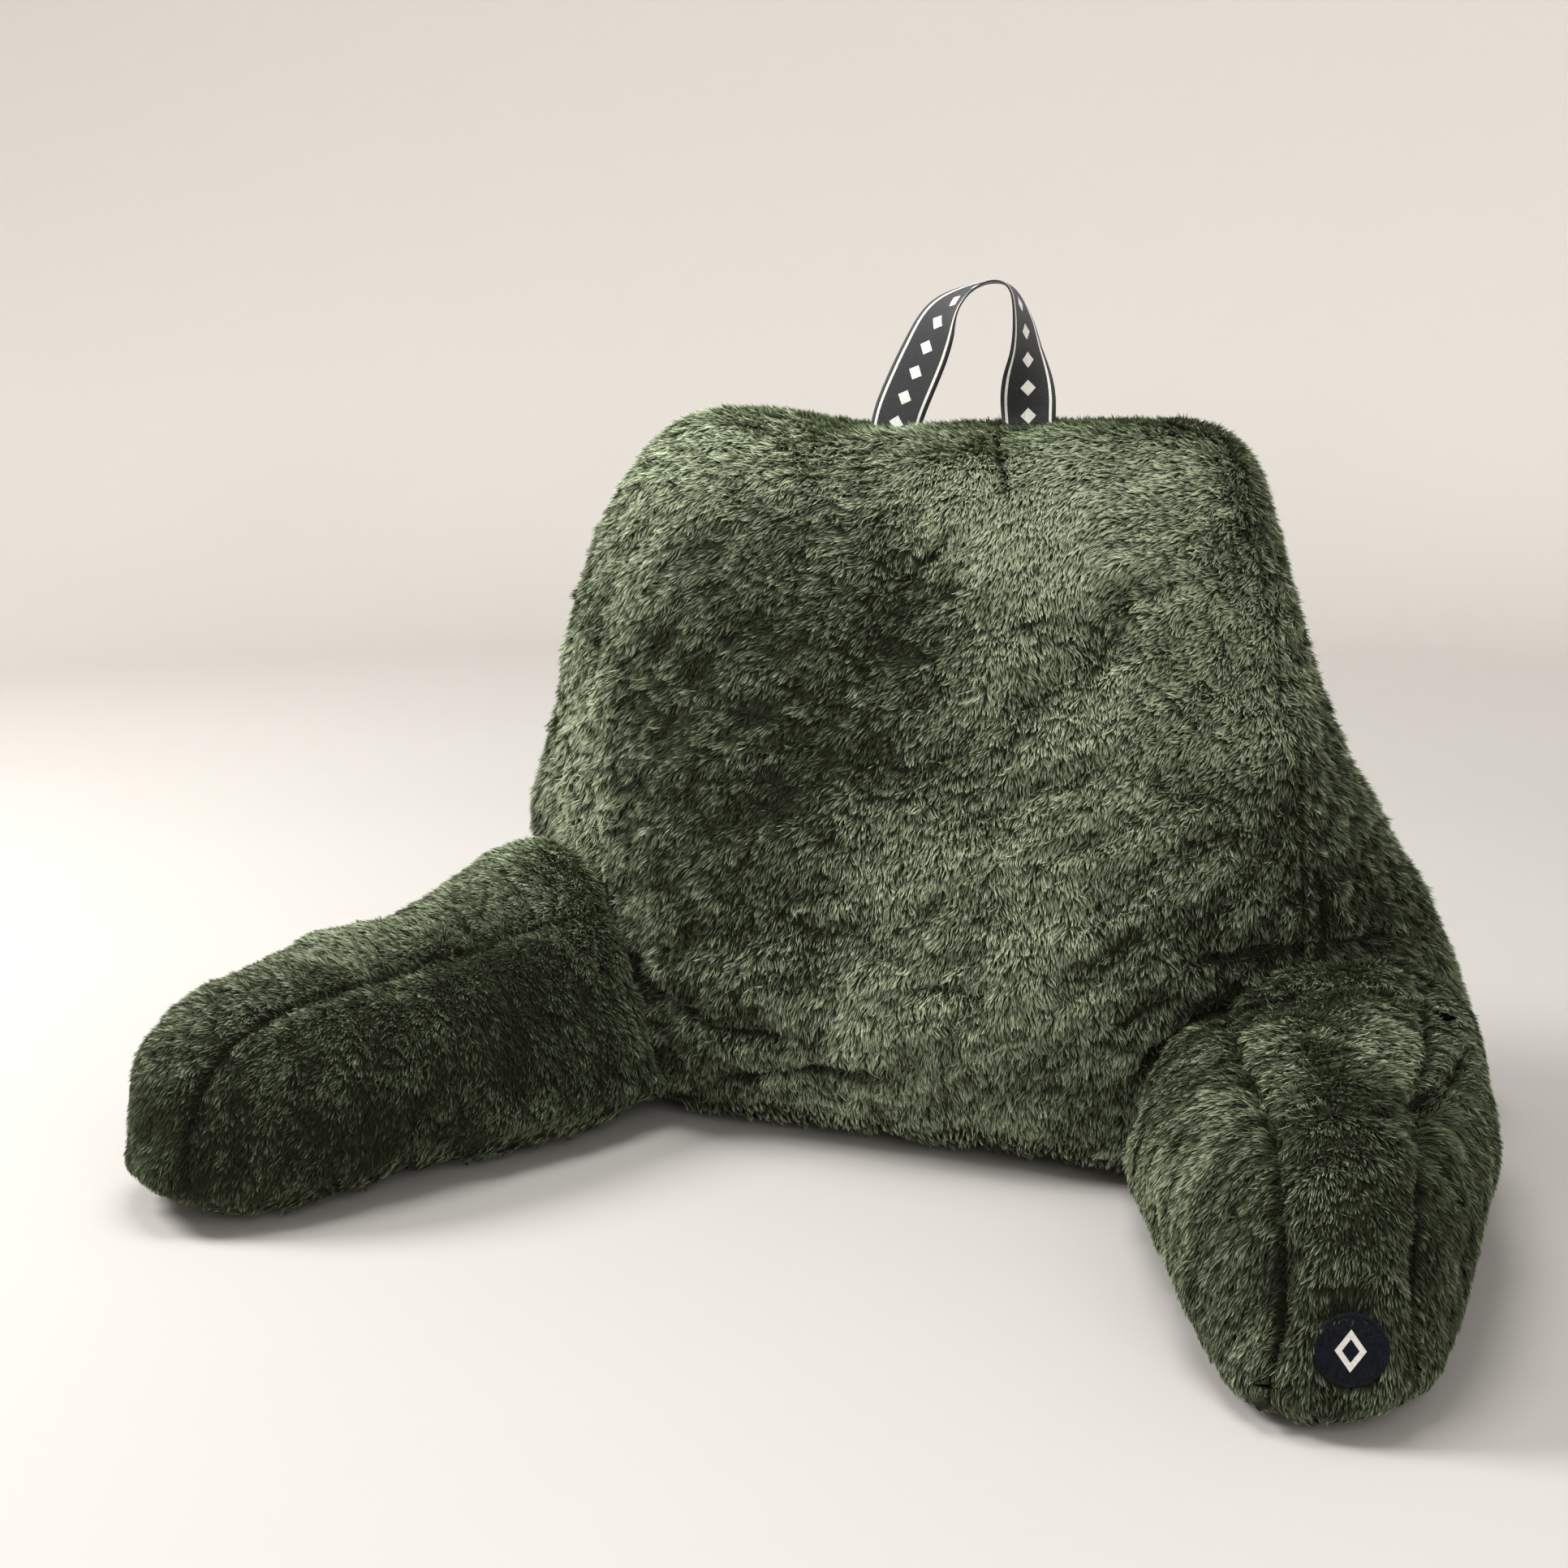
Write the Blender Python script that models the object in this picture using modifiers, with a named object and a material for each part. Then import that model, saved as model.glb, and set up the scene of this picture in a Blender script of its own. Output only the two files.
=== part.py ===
"""Reading pillow with arms: a wedge-shaped back cushion, two boxed arm cushions sewn to its front
corners, a webbing carrying loop on top and a round woven patch let into the end of one arm.

Metres, +Z up, +X to the right of someone facing the pillow's front, front towards -Y.
The origin is the middle of the back cushion's flat underside. Every cushion is measured over the
tips of its pile.
"""

import math

import bmesh
import bpy
from mathutils import Vector
from mathutils.bvhtree import BVHTree

# Driving sizes
GAP = 0.0003
BACK_DEPTH = 0.280
BACK_HEIGHT = 0.458
STRAP_WIDTH = 0.036
STRAP_THICKNESS = 0.0018
PATCH_DIAMETER = 0.037
PATCH_THICKNESS = 0.0020
PATCH_RECESS = 0.0060

FOOT_Y = -BACK_DEPTH / 2
POINTS_ROUND = 36
PANEL_SHARES = (0.50, 0.84)
BOXING_SHARES = (0.16, 0.50, 0.84)
CUT_REACH = 0.02
# How flat a filled panel stays before it falls to its seam, and the same for a strip.
PANEL_FULLNESS = 4
STRIP_FULLNESS = 2.4

# The back cushion in level rows. front and rear: how far the two seams stand behind the front
# foot. left, right, rear_left and rear_right: how far each seam stands from the middle.
# swell_left and swell_right: how far the boxing swells past the line between its seams.
BACK_COLUMNS = (
    "z", "front", "left", "right", "rear", "rear_left", "rear_right", "swell_left", "swell_right",
)
BACK_ROWS = (
    (0.000, -0.006, 0.196, 0.200, 0.288, 0.320, 0.335, 0.028, 0.028),
    (0.080, 0.012, 0.216, 0.236, 0.268, 0.318, 0.318, 0.058, 0.038),
    (0.160, 0.030, 0.230, 0.260, 0.244, 0.286, 0.272, 0.084, 0.028),
    (0.240, 0.042, 0.240, 0.254, 0.222, 0.254, 0.228, 0.084, 0.020),
    (0.320, 0.050, 0.240, 0.240, 0.204, 0.228, 0.194, 0.072, 0.014),
    (0.400, 0.056, 0.232, 0.224, 0.192, 0.210, 0.182, 0.056, 0.010),
    (0.458, 0.062, 0.228, 0.210, 0.182, 0.198, 0.176, 0.044, 0.008),
)
BACK_CORNER_TOP = 0.040
BACK_CORNER_FOOT = 0.015
FRONT_CROWN = 0.064
REAR_CROWN = 0.040
TOP_CROWN = 0.022
TOP_DIP = 0.010
PANEL_MIDDLE_Z = 0.215

# The two arms. root and tip: where the inner seam starts inside the back and ends at the front, in
# plan from the middle of the back's front foot. width: across the strip. height: of the inner seam.
# lean: how far the inner seam falls outwards at the root.
ARM_COLUMNS = (
    "name", "side", "root_x", "root_y", "tip_x", "tip_y", "root_width", "tip_width",
    "root_height", "tip_height", "lean", "inner_crown", "outer_crown", "top_crown", "tip_crown",
)
ARM_ROWS = (
    ("arm_right", 1, 0.118, 0.100, 0.316, -0.312, 0.204, 0.074,
     0.124, 0.132, 0.050, 0.038, 0.040, 0.024, 0.021),
    ("arm_left", -1, 0.118, 0.100, 0.317, -0.316, 0.196, 0.082,
     0.148, 0.126, 0.060, 0.036, 0.040, 0.022, 0.020),
)
ARM_TIP_RADIUS = 0.080
ARM_FOOT_RADIUS = 0.006
ARM_MIDDLE = (0.58, 0.062)

# The carrying loop's middle line from foot to foot, in the plane that stands LOOP_Y from the middle.
# turn: degrees that its width has swung from +X towards the front.
LOOP_Y = -0.020
LOOP_COLUMNS = ("x", "z", "turn")
LOOP_ROWS = (
    (-0.051, 0.454, 0),
    (-0.046, 0.473, 2),
    (-0.031, 0.506, 8),
    (-0.018, 0.532, 26),
    (0.000, 0.548, 54),
    (0.018, 0.554, 68),
    (0.031, 0.549, 78),
    (0.038, 0.531, 92),
    (0.041, 0.510, 108),
    (0.042, 0.490, 140),
    (0.043, 0.470, 172),
    (0.044, 0.454, 178),
)
STEPS_BETWEEN = 4
STEPS_ACROSS = 2

# The patch: how far across the strip from the inner seam, and how high, its middle lies.
PATCH_ACROSS = 0.035
PATCH_HEIGHT = 0.046
PATCH_SIDES = 40

COLOURS = {
    "pile": ((0.105, 0.155, 0.080), 0.95),
    "webbing": ((0.012, 0.013, 0.015), 0.70),
    "patch": ((0.010, 0.011, 0.016), 0.65),
}


def clear_scene():
    for thing in list(bpy.data.objects):
        bpy.data.objects.remove(thing, do_unlink=True)


def new_collection(name, hidden=False):
    made = bpy.data.collections.new(name)
    bpy.context.scene.collection.children.link(made)
    made.hide_render = hidden
    return made


def finish_of(name):
    """The Principled material of that name, made once."""
    found = bpy.data.materials.get(name)
    if found:
        return found
    colour, roughness = COLOURS[name]
    made = bpy.data.materials.new(name)
    made.use_nodes = True
    shader = made.node_tree.nodes["Principled BSDF"]
    shader.inputs["Base Color"].default_value = (*colour, 1.0)
    shader.inputs["Roughness"].default_value = roughness
    shader.inputs["Metallic"].default_value = 0.0
    return made


def object_from(name, shape, collection, finish):
    """A scene object from a bmesh, which it uses up."""
    bmesh.ops.recalc_face_normals(shape, faces=shape.faces)
    mesh = bpy.data.meshes.new(name)
    shape.to_mesh(mesh)
    shape.free()
    mesh.materials.append(finish_of(finish))
    mesh.shade_smooth()
    made = bpy.data.objects.new(name, mesh)
    collection.objects.link(made)
    return made


def smoothed(made):
    """Rounds a coarse cage and fixes how its faces fold."""
    rounding = made.modifiers.new("rounding", "SUBSURF")
    rounding.levels = 1
    rounding.render_levels = 1
    facets = made.modifiers.new("facets", "TRIANGULATE")
    facets.quad_method = "FIXED"


def as_cutter(made):
    made.hide_render = True
    made.display_type = "WIRE"
    return made


def cut_by(made, cutter):
    cut = made.modifiers.new("clearance", "BOOLEAN")
    cut.operation = "DIFFERENCE"
    cut.solver = "EXACT"
    cut.object = cutter


def rows_as_columns(columns, rows):
    return {name: [row[i] for row in rows] for i, name in enumerate(columns)}


BACK = rows_as_columns(BACK_COLUMNS, BACK_ROWS)
LOOP = rows_as_columns(LOOP_COLUMNS, LOOP_ROWS)


def curve_between(p0, p1, p2, p3, share):
    """The smooth curve through p1 and p2, share of the way from one to the other."""
    bend = 2 * p0 - 5 * p1 + 4 * p2 - p3
    return p1 + 0.5 * share * (p2 - p0 + share * (bend + share * (3 * (p1 - p2) + p3 - p0)))


def curve_at(values, place):
    """The smooth curve through values at a fractional index."""
    last = len(values) - 1
    low = min(max(int(place), 0), last - 1)
    four = [values[min(max(i, 0), last)] for i in (low - 1, low, low + 1, low + 2)]
    return curve_between(*four, min(max(place - low, 0.0), 1.0))


def back_at(column, z):
    """A column of BACK_ROWS at height z."""
    heights = BACK["z"]
    low = max(i for i in range(len(heights) - 1) if heights[i] <= max(z, 0.0))
    place = low + (z - heights[low]) / (heights[low + 1] - heights[low])
    return curve_at(BACK[column], place)


def filleted(corners, steps=6):
    """A closed outline through (along, up, radius) corners, each rounded by an arc."""
    points = []
    for i, (x, z, radius) in enumerate(corners):
        corner = Vector((x, z))
        to_last = (Vector(corners[i - 1][:2]) - corner).normalized()
        to_next = (Vector(corners[(i + 1) % len(corners)][:2]) - corner).normalized()
        half_angle = to_last.angle(to_next) / 2
        middle = corner + (to_last + to_next).normalized() * radius / math.sin(half_angle)
        reach = radius / math.tan(half_angle)
        start = (corner + to_last * reach - middle).normalized()
        end = (corner + to_next * reach - middle).normalized()
        points += [middle + start.slerp(end, k / steps) * radius for k in range(steps + 1)]
    return points


def evenly(outline, count):
    """count points at equal steps along a closed outline, from its first point."""
    ends = outline[1:] + outline[:1]
    lengths = [(b - a).length for a, b in zip(outline, ends)]
    step = sum(lengths) / count
    made, walked, at = [], 0.0, 0
    for k in range(count):
        while walked + lengths[at] < k * step:
            walked += lengths[at]
            at += 1
        made.append(outline[at].lerp(ends[at], (k * step - walked) / lengths[at]))
    return made


def outward(outline):
    """The unit normal at each point of a closed outline that runs anticlockwise."""
    normals = []
    for i in range(len(outline)):
        along = (outline[(i + 1) % len(outline)] - outline[i - 1]).normalized()
        normals.append(Vector((along.y, -along.x)))
    return normals


def arch(share):
    """The height of a swell across a strip: 0 at both seams and 1 half-way."""
    return 1 - abs(2 * share - 1) ** STRIP_FULLNESS


def roundness(outline, middle):
    """How far an ellipse inside a closed outline reaches towards each of its points, as a share."""
    low_x, high_x = min(p.x for p in outline), max(p.x for p in outline)
    low_y, high_y = min(p.y for p in outline), max(p.y for p in outline)
    shares = []
    for point in outline:
        offset = point - middle
        wide = high_x - middle.x if offset.x > 0 else middle.x - low_x
        tall = high_y - middle.y if offset.y > 0 else middle.y - low_y
        shares.append(1 / math.hypot(offset.x / wide, offset.y / tall))
    return shares


def panel(seam, middle, swell, rounder):
    """Rings from near a panel's middle, where they are elliptical, out towards its seam."""
    rings = []
    for share in PANEL_SHARES:
        rise = swell * (1 - share**PANEL_FULLNESS)
        ring = []
        for point, round_share in zip(seam, rounder):
            reach = share * (share**2 + (1 - share**2) * round_share)
            ring.append(middle.lerp(point, reach) + rise)
        rings.append(ring)
    return rings


def loft(rings, first, last):
    """A closed skin through rings of equal count, closed at both ends on a middle point."""
    shape = bmesh.new()
    loops = [[shape.verts.new(point) for point in ring] for ring in rings]
    for lower, upper in zip(loops, loops[1:]):
        for i in range(len(lower)):
            j = (i + 1) % len(lower)
            shape.faces.new((lower[i], lower[j], upper[j], upper[i]))
    for loop, middle in ((loops[0], first), (loops[-1], last)):
        hub = shape.verts.new(middle)
        for i in range(len(loop)):
            shape.faces.new((loop[i], loop[(i + 1) % len(loop)], hub))
    return shape


def back_shape():
    """The wedge-shaped back: front panel, swollen boxing and rear panel, flat underneath."""
    top_half, foot_half = BACK_ROWS[-1][2], BACK_ROWS[0][2]
    corners = (
        (-foot_half, 0.0, BACK_CORNER_FOOT),
        (foot_half, 0.0, BACK_CORNER_FOOT),
        (top_half, BACK_HEIGHT, BACK_CORNER_TOP),
        (-top_half, BACK_HEIGHT, BACK_CORNER_TOP),
    )
    outline = evenly(filleted(corners), POINTS_ROUND)

    def on_seam(point, left, right, depth):
        straight = foot_half + (top_half - foot_half) * point.y / BACK_HEIGHT
        reach = back_at(left if point.x < 0 else right, point.y)
        return Vector((point.x / straight * reach, FOOT_Y + back_at(depth, point.y), point.y))

    front = [on_seam(point, "left", "right", "front") for point in outline]
    rear = [on_seam(point, "rear_left", "rear_right", "rear") for point in outline]
    boxing = []
    for share in BOXING_SHARES:
        ring = []
        for a, b, point, normal in zip(front, rear, outline, outward(outline)):
            side = back_at("swell_left" if normal.x < 0 else "swell_right", point.y)
            dip = TOP_DIP * (1 - (point.x / top_half) ** 2)
            swell = Vector((normal.x * side, 0.0, (TOP_CROWN - dip) * max(normal.y, 0.0)))
            ring.append(a.lerp(b, share) + swell * arch(share))
        boxing.append(ring)
    front_middle = Vector((0.0, FOOT_Y + back_at("front", PANEL_MIDDLE_Z), PANEL_MIDDLE_Z))
    rear_middle = Vector((0.0, FOOT_Y + back_at("rear", PANEL_MIDDLE_Z), PANEL_MIDDLE_Z))
    forward, backward = Vector((0.0, -FRONT_CROWN, 0.0)), Vector((0.0, REAR_CROWN, 0.0))
    rounder = roundness(outline, Vector((0.0, PANEL_MIDDLE_Z)))
    rings = panel(front, front_middle, forward, rounder) + [front] + boxing + [rear]
    rings += panel(rear, rear_middle, backward, rounder)[::-1]
    return loft(rings, front_middle + forward, rear_middle + backward)


def back_cushion(collection):
    made = object_from("back_cushion", back_shape(), collection, "pile")
    smoothed(made)
    return made


def back_cutter(collection):
    """The back cushion grown by the gap, which shapes whatever is sewn to it."""
    made = object_from("back_clearance", back_shape(), collection, "pile")
    smoothed(made)
    growth = made.modifiers.new("growth", "DISPLACE")
    growth.strength = GAP
    growth.mid_level = 0.0
    return as_cutter(made)


def arm_plan(arm):
    """An arm's seam lines in plan and its axis: root and tip of each seam, and two directions."""
    side = arm["side"]
    root = Vector((side * arm["root_x"], FOOT_Y + arm["root_y"], 0.0))
    tip = Vector((side * arm["tip_x"], FOOT_Y + arm["tip_y"], 0.0))
    axis = (tip - root).normalized()
    across = Vector((-axis.y, axis.x, 0.0)) * side
    return root, tip, axis, across


def arm_cushion(arm, collection):
    """A boxed arm: two D-shaped side panels and one strip over the top and down the tip."""
    root, tip, axis, across = arm_plan(arm)
    length = (tip - root).length
    corners = (
        (0.0, 0.0, ARM_FOOT_RADIUS),
        (length, 0.0, ARM_FOOT_RADIUS),
        (length, arm["tip_height"], ARM_TIP_RADIUS),
        (0.0, arm["root_height"], ARM_FOOT_RADIUS),
    )
    outline = evenly(filleted(corners), POINTS_ROUND)

    def placed(point, share):
        """share 0 is the inner seam and 1 the outer one."""
        width = arm["root_width"] + (arm["tip_width"] - arm["root_width"]) * point.x / length
        lean = arm["lean"] * (1 - share) * (1 - point.x / length) * point.y / arm["root_height"]
        return root + axis * point.x + across * (width * share + lean) + Vector((0, 0, point.y))

    inner = [placed(point, 0.0) for point in outline]
    outer = [placed(point, 1.0) for point in outline]
    strip = []
    for share in BOXING_SHARES:
        ring = []
        for point, normal in zip(outline, outward(outline)):
            up = Vector((0.0, 0.0, arm["top_crown"] * max(normal.y, 0.0)))
            forward = axis * arm["tip_crown"] * max(normal.x, 0.0)
            ring.append(placed(point, share) + (up + forward) * arch(share))
        strip.append(ring)
    middle = Vector((length * ARM_MIDDLE[0], ARM_MIDDLE[1]))
    inwards, outwards = -across * arm["inner_crown"], across * arm["outer_crown"]
    rounder = roundness(outline, middle)
    rings = panel(inner, placed(middle, 0.0), inwards, rounder) + [inner] + strip + [outer]
    rings += panel(outer, placed(middle, 1.0), outwards, rounder)[::-1]
    shape = loft(rings, placed(middle, 0.0) + inwards, placed(middle, 1.0) + outwards)
    made = object_from(arm["name"], shape, collection, "pile")
    smoothed(made)
    return made


def carrying_loop(collection):
    """A webbing strap whose ends stand in the top of the back and whose crest is twisted."""
    spans = len(LOOP_ROWS) - 1
    ribbon = bmesh.new()
    bmesh.ops.create_grid(
        ribbon, x_segments=spans * STEPS_BETWEEN, y_segments=STEPS_ACROSS, size=1.0
    )

    def middle_line(place):
        return Vector((curve_at(LOOP["x"], place), LOOP_Y, curve_at(LOOP["z"], place)))

    for corner in ribbon.verts:
        place = (corner.co.x + 1) / 2 * spans
        ahead, behind = middle_line(min(place + 0.1, spans)), middle_line(max(place - 0.1, 0))
        along = (ahead - behind).normalized()
        turn = math.radians(curve_at(LOOP["turn"], place))
        across = Vector((math.cos(turn), -math.sin(turn), 0.0))
        across = (across - along * across.dot(along)).normalized()
        corner.co = middle_line(place) + across * corner.co.y * STRAP_WIDTH / 2
    made = object_from("carrying_loop", ribbon, collection, "webbing")
    thickness = made.modifiers.new("thickness", "SOLIDIFY")
    thickness.thickness = STRAP_THICKNESS
    thickness.offset = 0.0
    return made


def patch_place(arm, made):
    """The point on the end of an arm where the patch lies, and the way that it faces."""
    root, tip, axis, across = arm_plan(arm)
    graph = bpy.context.evaluated_depsgraph_get()
    skin = BVHTree.FromObject(made, graph)
    start = tip + axis * 0.2 + across * PATCH_ACROSS + Vector((0.0, 0.0, PATCH_HEIGHT))
    point, normal, _, _ = skin.ray_cast(start, -axis)
    return point, normal


def disc(name, radius, depth, point, normal, collection):
    """A round plate whose outer face has its middle on the point."""
    shape = bmesh.new()
    bmesh.ops.create_cone(
        shape, cap_ends=True, segments=PATCH_SIDES, radius1=radius, radius2=radius, depth=depth
    )
    bmesh.ops.translate(shape, verts=shape.verts, vec=(0.0, 0.0, -depth / 2))
    made = object_from(name, shape, collection, "patch")
    made.location = point
    made.rotation_mode = "QUATERNION"
    made.rotation_quaternion = normal.to_track_quat("Z", "Y")
    return made


def main():
    clear_scene()
    pillow = new_collection("reading_pillow")
    cutters = new_collection("clearances", hidden=True)
    back_cushion(pillow)
    clearance = back_cutter(cutters)
    arms = [dict(zip(ARM_COLUMNS, row)) for row in ARM_ROWS]
    cushions = {arm["name"]: arm_cushion(arm, pillow) for arm in arms}
    bpy.context.view_layer.update()
    point, normal = patch_place(arms[0], cushions[arms[0]["name"]])
    for cushion in cushions.values():
        cut_by(cushion, clearance)
    recess = disc(
        "patch_recess", PATCH_DIAMETER / 2 + GAP, PATCH_RECESS + CUT_REACH,
        point + normal * CUT_REACH, normal, cutters,
    )
    cut_by(cushions[arms[0]["name"]], as_cutter(recess))
    seat = point - normal * (PATCH_RECESS - GAP - PATCH_THICKNESS)
    disc("patch", PATCH_DIAMETER / 2, PATCH_THICKNESS, seat, normal, pillow)
    cut_by(carrying_loop(pillow), clearance)


main()
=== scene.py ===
"""Reading pillow with arms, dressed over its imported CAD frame.

Each cushion is a filled skin, swollen between its pinned seams and creased where it is sewn, and a
dense pile of short blades that are combed, gathered in tufts and parted along the seams. The
carrying loop is woven webbing with a line inside each edge, and the patch a round woven badge.

Metres, +Z up, +X to the right of someone facing the pillow's front, front towards -Y.
"""

import math

import bmesh
import bpy
import numpy as np
from mathutils import Matrix, Vector
from mathutils.bvhtree import BVHTree
from mathutils.kdtree import KDTree


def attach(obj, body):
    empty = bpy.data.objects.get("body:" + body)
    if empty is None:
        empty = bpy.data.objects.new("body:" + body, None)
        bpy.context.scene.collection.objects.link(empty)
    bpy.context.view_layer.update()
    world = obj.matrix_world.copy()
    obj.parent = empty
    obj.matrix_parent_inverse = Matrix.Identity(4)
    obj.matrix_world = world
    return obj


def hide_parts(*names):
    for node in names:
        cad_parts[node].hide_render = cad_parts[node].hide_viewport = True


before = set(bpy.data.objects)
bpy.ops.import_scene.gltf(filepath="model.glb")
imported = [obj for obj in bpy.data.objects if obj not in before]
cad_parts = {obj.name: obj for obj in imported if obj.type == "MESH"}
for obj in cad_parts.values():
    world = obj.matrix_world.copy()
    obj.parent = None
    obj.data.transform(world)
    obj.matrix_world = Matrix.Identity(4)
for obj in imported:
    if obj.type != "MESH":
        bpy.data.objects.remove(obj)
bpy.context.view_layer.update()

# The photograph and its camera
PHOTO_PIXELS = 1932
FOCAL_PIXELS = 3000.0
SENSOR = 36.0
CAMERA_AZIMUTH = 24.084
CAMERA_ELEVATION = 10.221
CAMERA_PLACE = (0.552, -1.549, 0.514)
PIXEL = 0.00053  # metres, at the pillow
PIXEL_STEP = 6

# The skin under the pile. An uneven swell has a height and a size.
SKIN_DEPTH = 0.0022
SLACK = 0.0010
FILLING_ROOM = 0.0060
FULLNESS = 0.0018
TUCK_DEPTH = 0.0060
VOXEL = 0.011
FILLING_PRESSURE = 4.0
FILLING_FRAMES = 20
SEAM_PIN_WIDTH = 0.010
PINNED_RISE = 0.008
LEAST_PIN = 0.01
SEWN_SEEK = 0.012
SEWN_REACH = 0.009
SEWN_BLEND = 0.006
SIDEWAYS_FULL = 0.6
SEAM_HALF_WIDTH = 0.0070
SEAM_STEP = 0.004
PRESS_SHARE = 0.60
PRESS_SEEK = 4
SUNK_FULL = 0.007
CREASE_TAPER = 0.20
BROAD_SWELL = (0.0024, 0.045)
FINE_SWELL = (0.0012, 0.020)
DRAPED_SWELL = (0.0022, 0.030)
WRINKLE_STRETCH = 0.45
WRINKLE_SLOPE = 0.50
FOOT_CLEARANCE = 0.0015
FOOT_REACH = 0.055
FOOT_SPREAD = 0.008
PATCH_SEAT = 0.0012
PATCH_PRESS = (1.5, 0.45, 0.03)
SEED = 11

# The pile, with its blades counted to the square metre. The tips of a tuft's blades meet, and a
# lock is a flake of pile that lies one way, over the next one down.
PILE_LENGTH = 0.0056
BLADE_WIDTH = 0.0010
ROOT_RUN = 0.0025
MOST_BLADES = 1095000
FEWEST_BLADES = 450000
WIDER = 0.8
DENSE_FACING = (-0.30, 0.6)
UNDER_FACING = -0.55
UNDER_SHARE = 0.25
SOLE_FACING = -0.7
SOLE_HEIGHT = 0.004
MOST_IN_PIECE = 195000
VARIES = 0.3
TIP_PULL = 0.55
TUFT_SPACING = 0.0021
TUFT_STRETCH = 1.9
TUFT_TILT = 0.24
TUFT_RISE = 0.0006
LOCK_SPACING = 0.0085
LOCK_STRETCH = 0.75
LOCK_STEP = 0.0012
LOCK_TURN = 0.26
LOCK_TILT = 0.20
LOCK_RISE = 0.14
CELLS_NEAR = 5
EDGE_SHARE = 0.24
CRACK_WIDTH = 0.15
CRACK_BREAKS = 3.0
CRACK_FULL = 0.0030
CRACKS = ((0.0075, 0.0009, 37), (0.013, 0.0009, 31), (0.025, 0.0007, 33))
RIPPLES = ((0.006, 0.0003, 35), (0.0088, 0.0009, 36), (0.015, 0.0014, 38))
CRUSH_DEPTH = 0.0012
GROUND_DEPTH = 0.0042
FOLD_GROUND = 0.0050
GATHER_GROUND = 0.0025
FOLD_DEPTH = 0.0032
FOLD_FULL = 0.0130
FOLD_SEEK = 0.0160
FOLD_WIDTH = 0.0018
FOLD_STEP = 0.0012
FOLD_BLEND = 0.005
FOLD_WANDER = (0.0014, 0.009)
LEAN_GAIN = 1.35
PART_REACH = 0.0045
PART_PULL = 3.0
ARM_PILE = 0.66
ARM_CALM = 0.60
PATCH_FRINGE = 0.0034
FRINGE_REACH = 0.003
PATCH_CLEAR = 0.97
SLOPE_STEP = 0.0003
FLOOR_GAP = 0.0006
TONES = 48
PILE_MAP = "OFBake"
BLADE_MAP_ACROSS = (0.9, 0.5, 0.1)
BLADE_MAP_ALONG = (0.02, 0.98, 0.02)

# What flat pile loses of its crinkles, and the flatness from which on and over which it does
FLAT_CALM = 0.75
CALM_FLATNESS = (0.60, 0.35)

# How a lock steps down to the next: what chance adds, what calm pile keeps and the middle level
STEP_CHANCE = 0.35
STEP_KEPT = 0.35
STEP_MIDDLE = 0.6

# How much of a blade's own face shows in its shading, less where the pile lies flat, and how far
# the crinkles and tufts may lean the rest of it
GLINT = 0.48
FLAT_GLINT = 0.36
GLINT_FLATNESS = (0.35, 0.40)
MOST_LEAN = 2
MOST_WIDE = 2
ASKEW = (0.31, 0.90, 0.30)

# How far, in radians, the pile's lie wanders, and each blade's lie and face turn from it
COMB_WANDER = (0.38, 0.045)
BLADE_TURN = 0.22
FACE_TURN = 0.5

# How steeply a blade stands, as its rise over its run: what all have, what upright pile, a lock's
# upper end and chance add, and the shares that the foot and an underside take away
RISE = 0.26
UPRIGHT_RISE = 0.60
STEP_RISE = 0.35
CALM_FALL = 0.15
BLADE_RISE = 0.12
RISE_LIMITS = (0.12, 1.4)
FOOT_FALL = 0.40
UNDER_FALL = 0.50
UNDERSIDE = (0.0, 0.5)

# How long a blade is, as shares of PILE_LENGTH
PATCHY_LENGTH = (0.12, 0.03)
BLADE_LENGTH = 0.15
LENGTH_LIMITS = (0.55, 1.3)
UPRIGHT_LENGTH = 0.85
FLAT_LENGTH = 0.5
FOOT_SHORTER = 0.30
SUNK_SHORTER = 0.15
FOLD_SHORTER = 0.35
CRACK_SHORTER = 0.25
GAP_SHORTER = 0.60

# How open the pile is, which shortens its blades and darkens them with painted shade: at the edge
# of a tuft, at the edge of a lock and below a lock's end
TUFT_GAP = 0.48
LOCK_GAP = 0.20
STEP_GAP = 0.30
STEP_BELOW = (0.12, 0.30)

# How pale a blade is painted, from 0 to 1, partly its frosted look and partly painted light and
# shade: what it starts from, what the comb, the neighbourhood, its lock, its tuft and chance add,
# and the painted shade that sunk places, folds and cracks take away
TONE = 0.14
PALE_TONE = 0.97
PATCHY_TONE = (0.10, 0.050)
LOCK_TONE = 0.07
TUFT_TONE = 0.11
BLADE_TONE = 0.08
FLAT_CHANCE = 0.4
SUNK_SHADE = 0.06
FOLD_SHADE = 0.70
CRACK_SHADE = 0.50

# What the seams and creases leave behind on each skin: how sunk its points are, and the lines
SUNK = {}
FOLDS = {}


def camera_axes():
    """The camera's right, up and backward directions."""
    azimuth, elevation = math.radians(CAMERA_AZIMUTH), math.radians(CAMERA_ELEVATION)
    back = Vector((
        math.sin(azimuth) * math.cos(elevation),
        -math.cos(azimuth) * math.cos(elevation),
        math.sin(elevation),
    ))
    right = Vector((math.cos(azimuth), math.sin(azimuth), 0.0))
    return right, back.cross(right), back


RIGHT, UP, BACK = camera_axes()


def ray_through(x, y):
    """The direction in which the camera sees a pixel of the photograph."""
    half = PHOTO_PIXELS / 2
    return (RIGHT * (x - half) - UP * (y - half) - BACK * FOCAL_PIXELS).normalized()


# ---- Meshes and numbers ----

def numbers(items, key, width, kind=np.float32):
    found = np.empty(len(items) * width, kind)
    items.foreach_get(key, found)
    return found.reshape(-1, width) if width > 1 else found


def places_of(mesh):
    return numbers(mesh.vertices, "co", 3).astype(np.float64)


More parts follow.
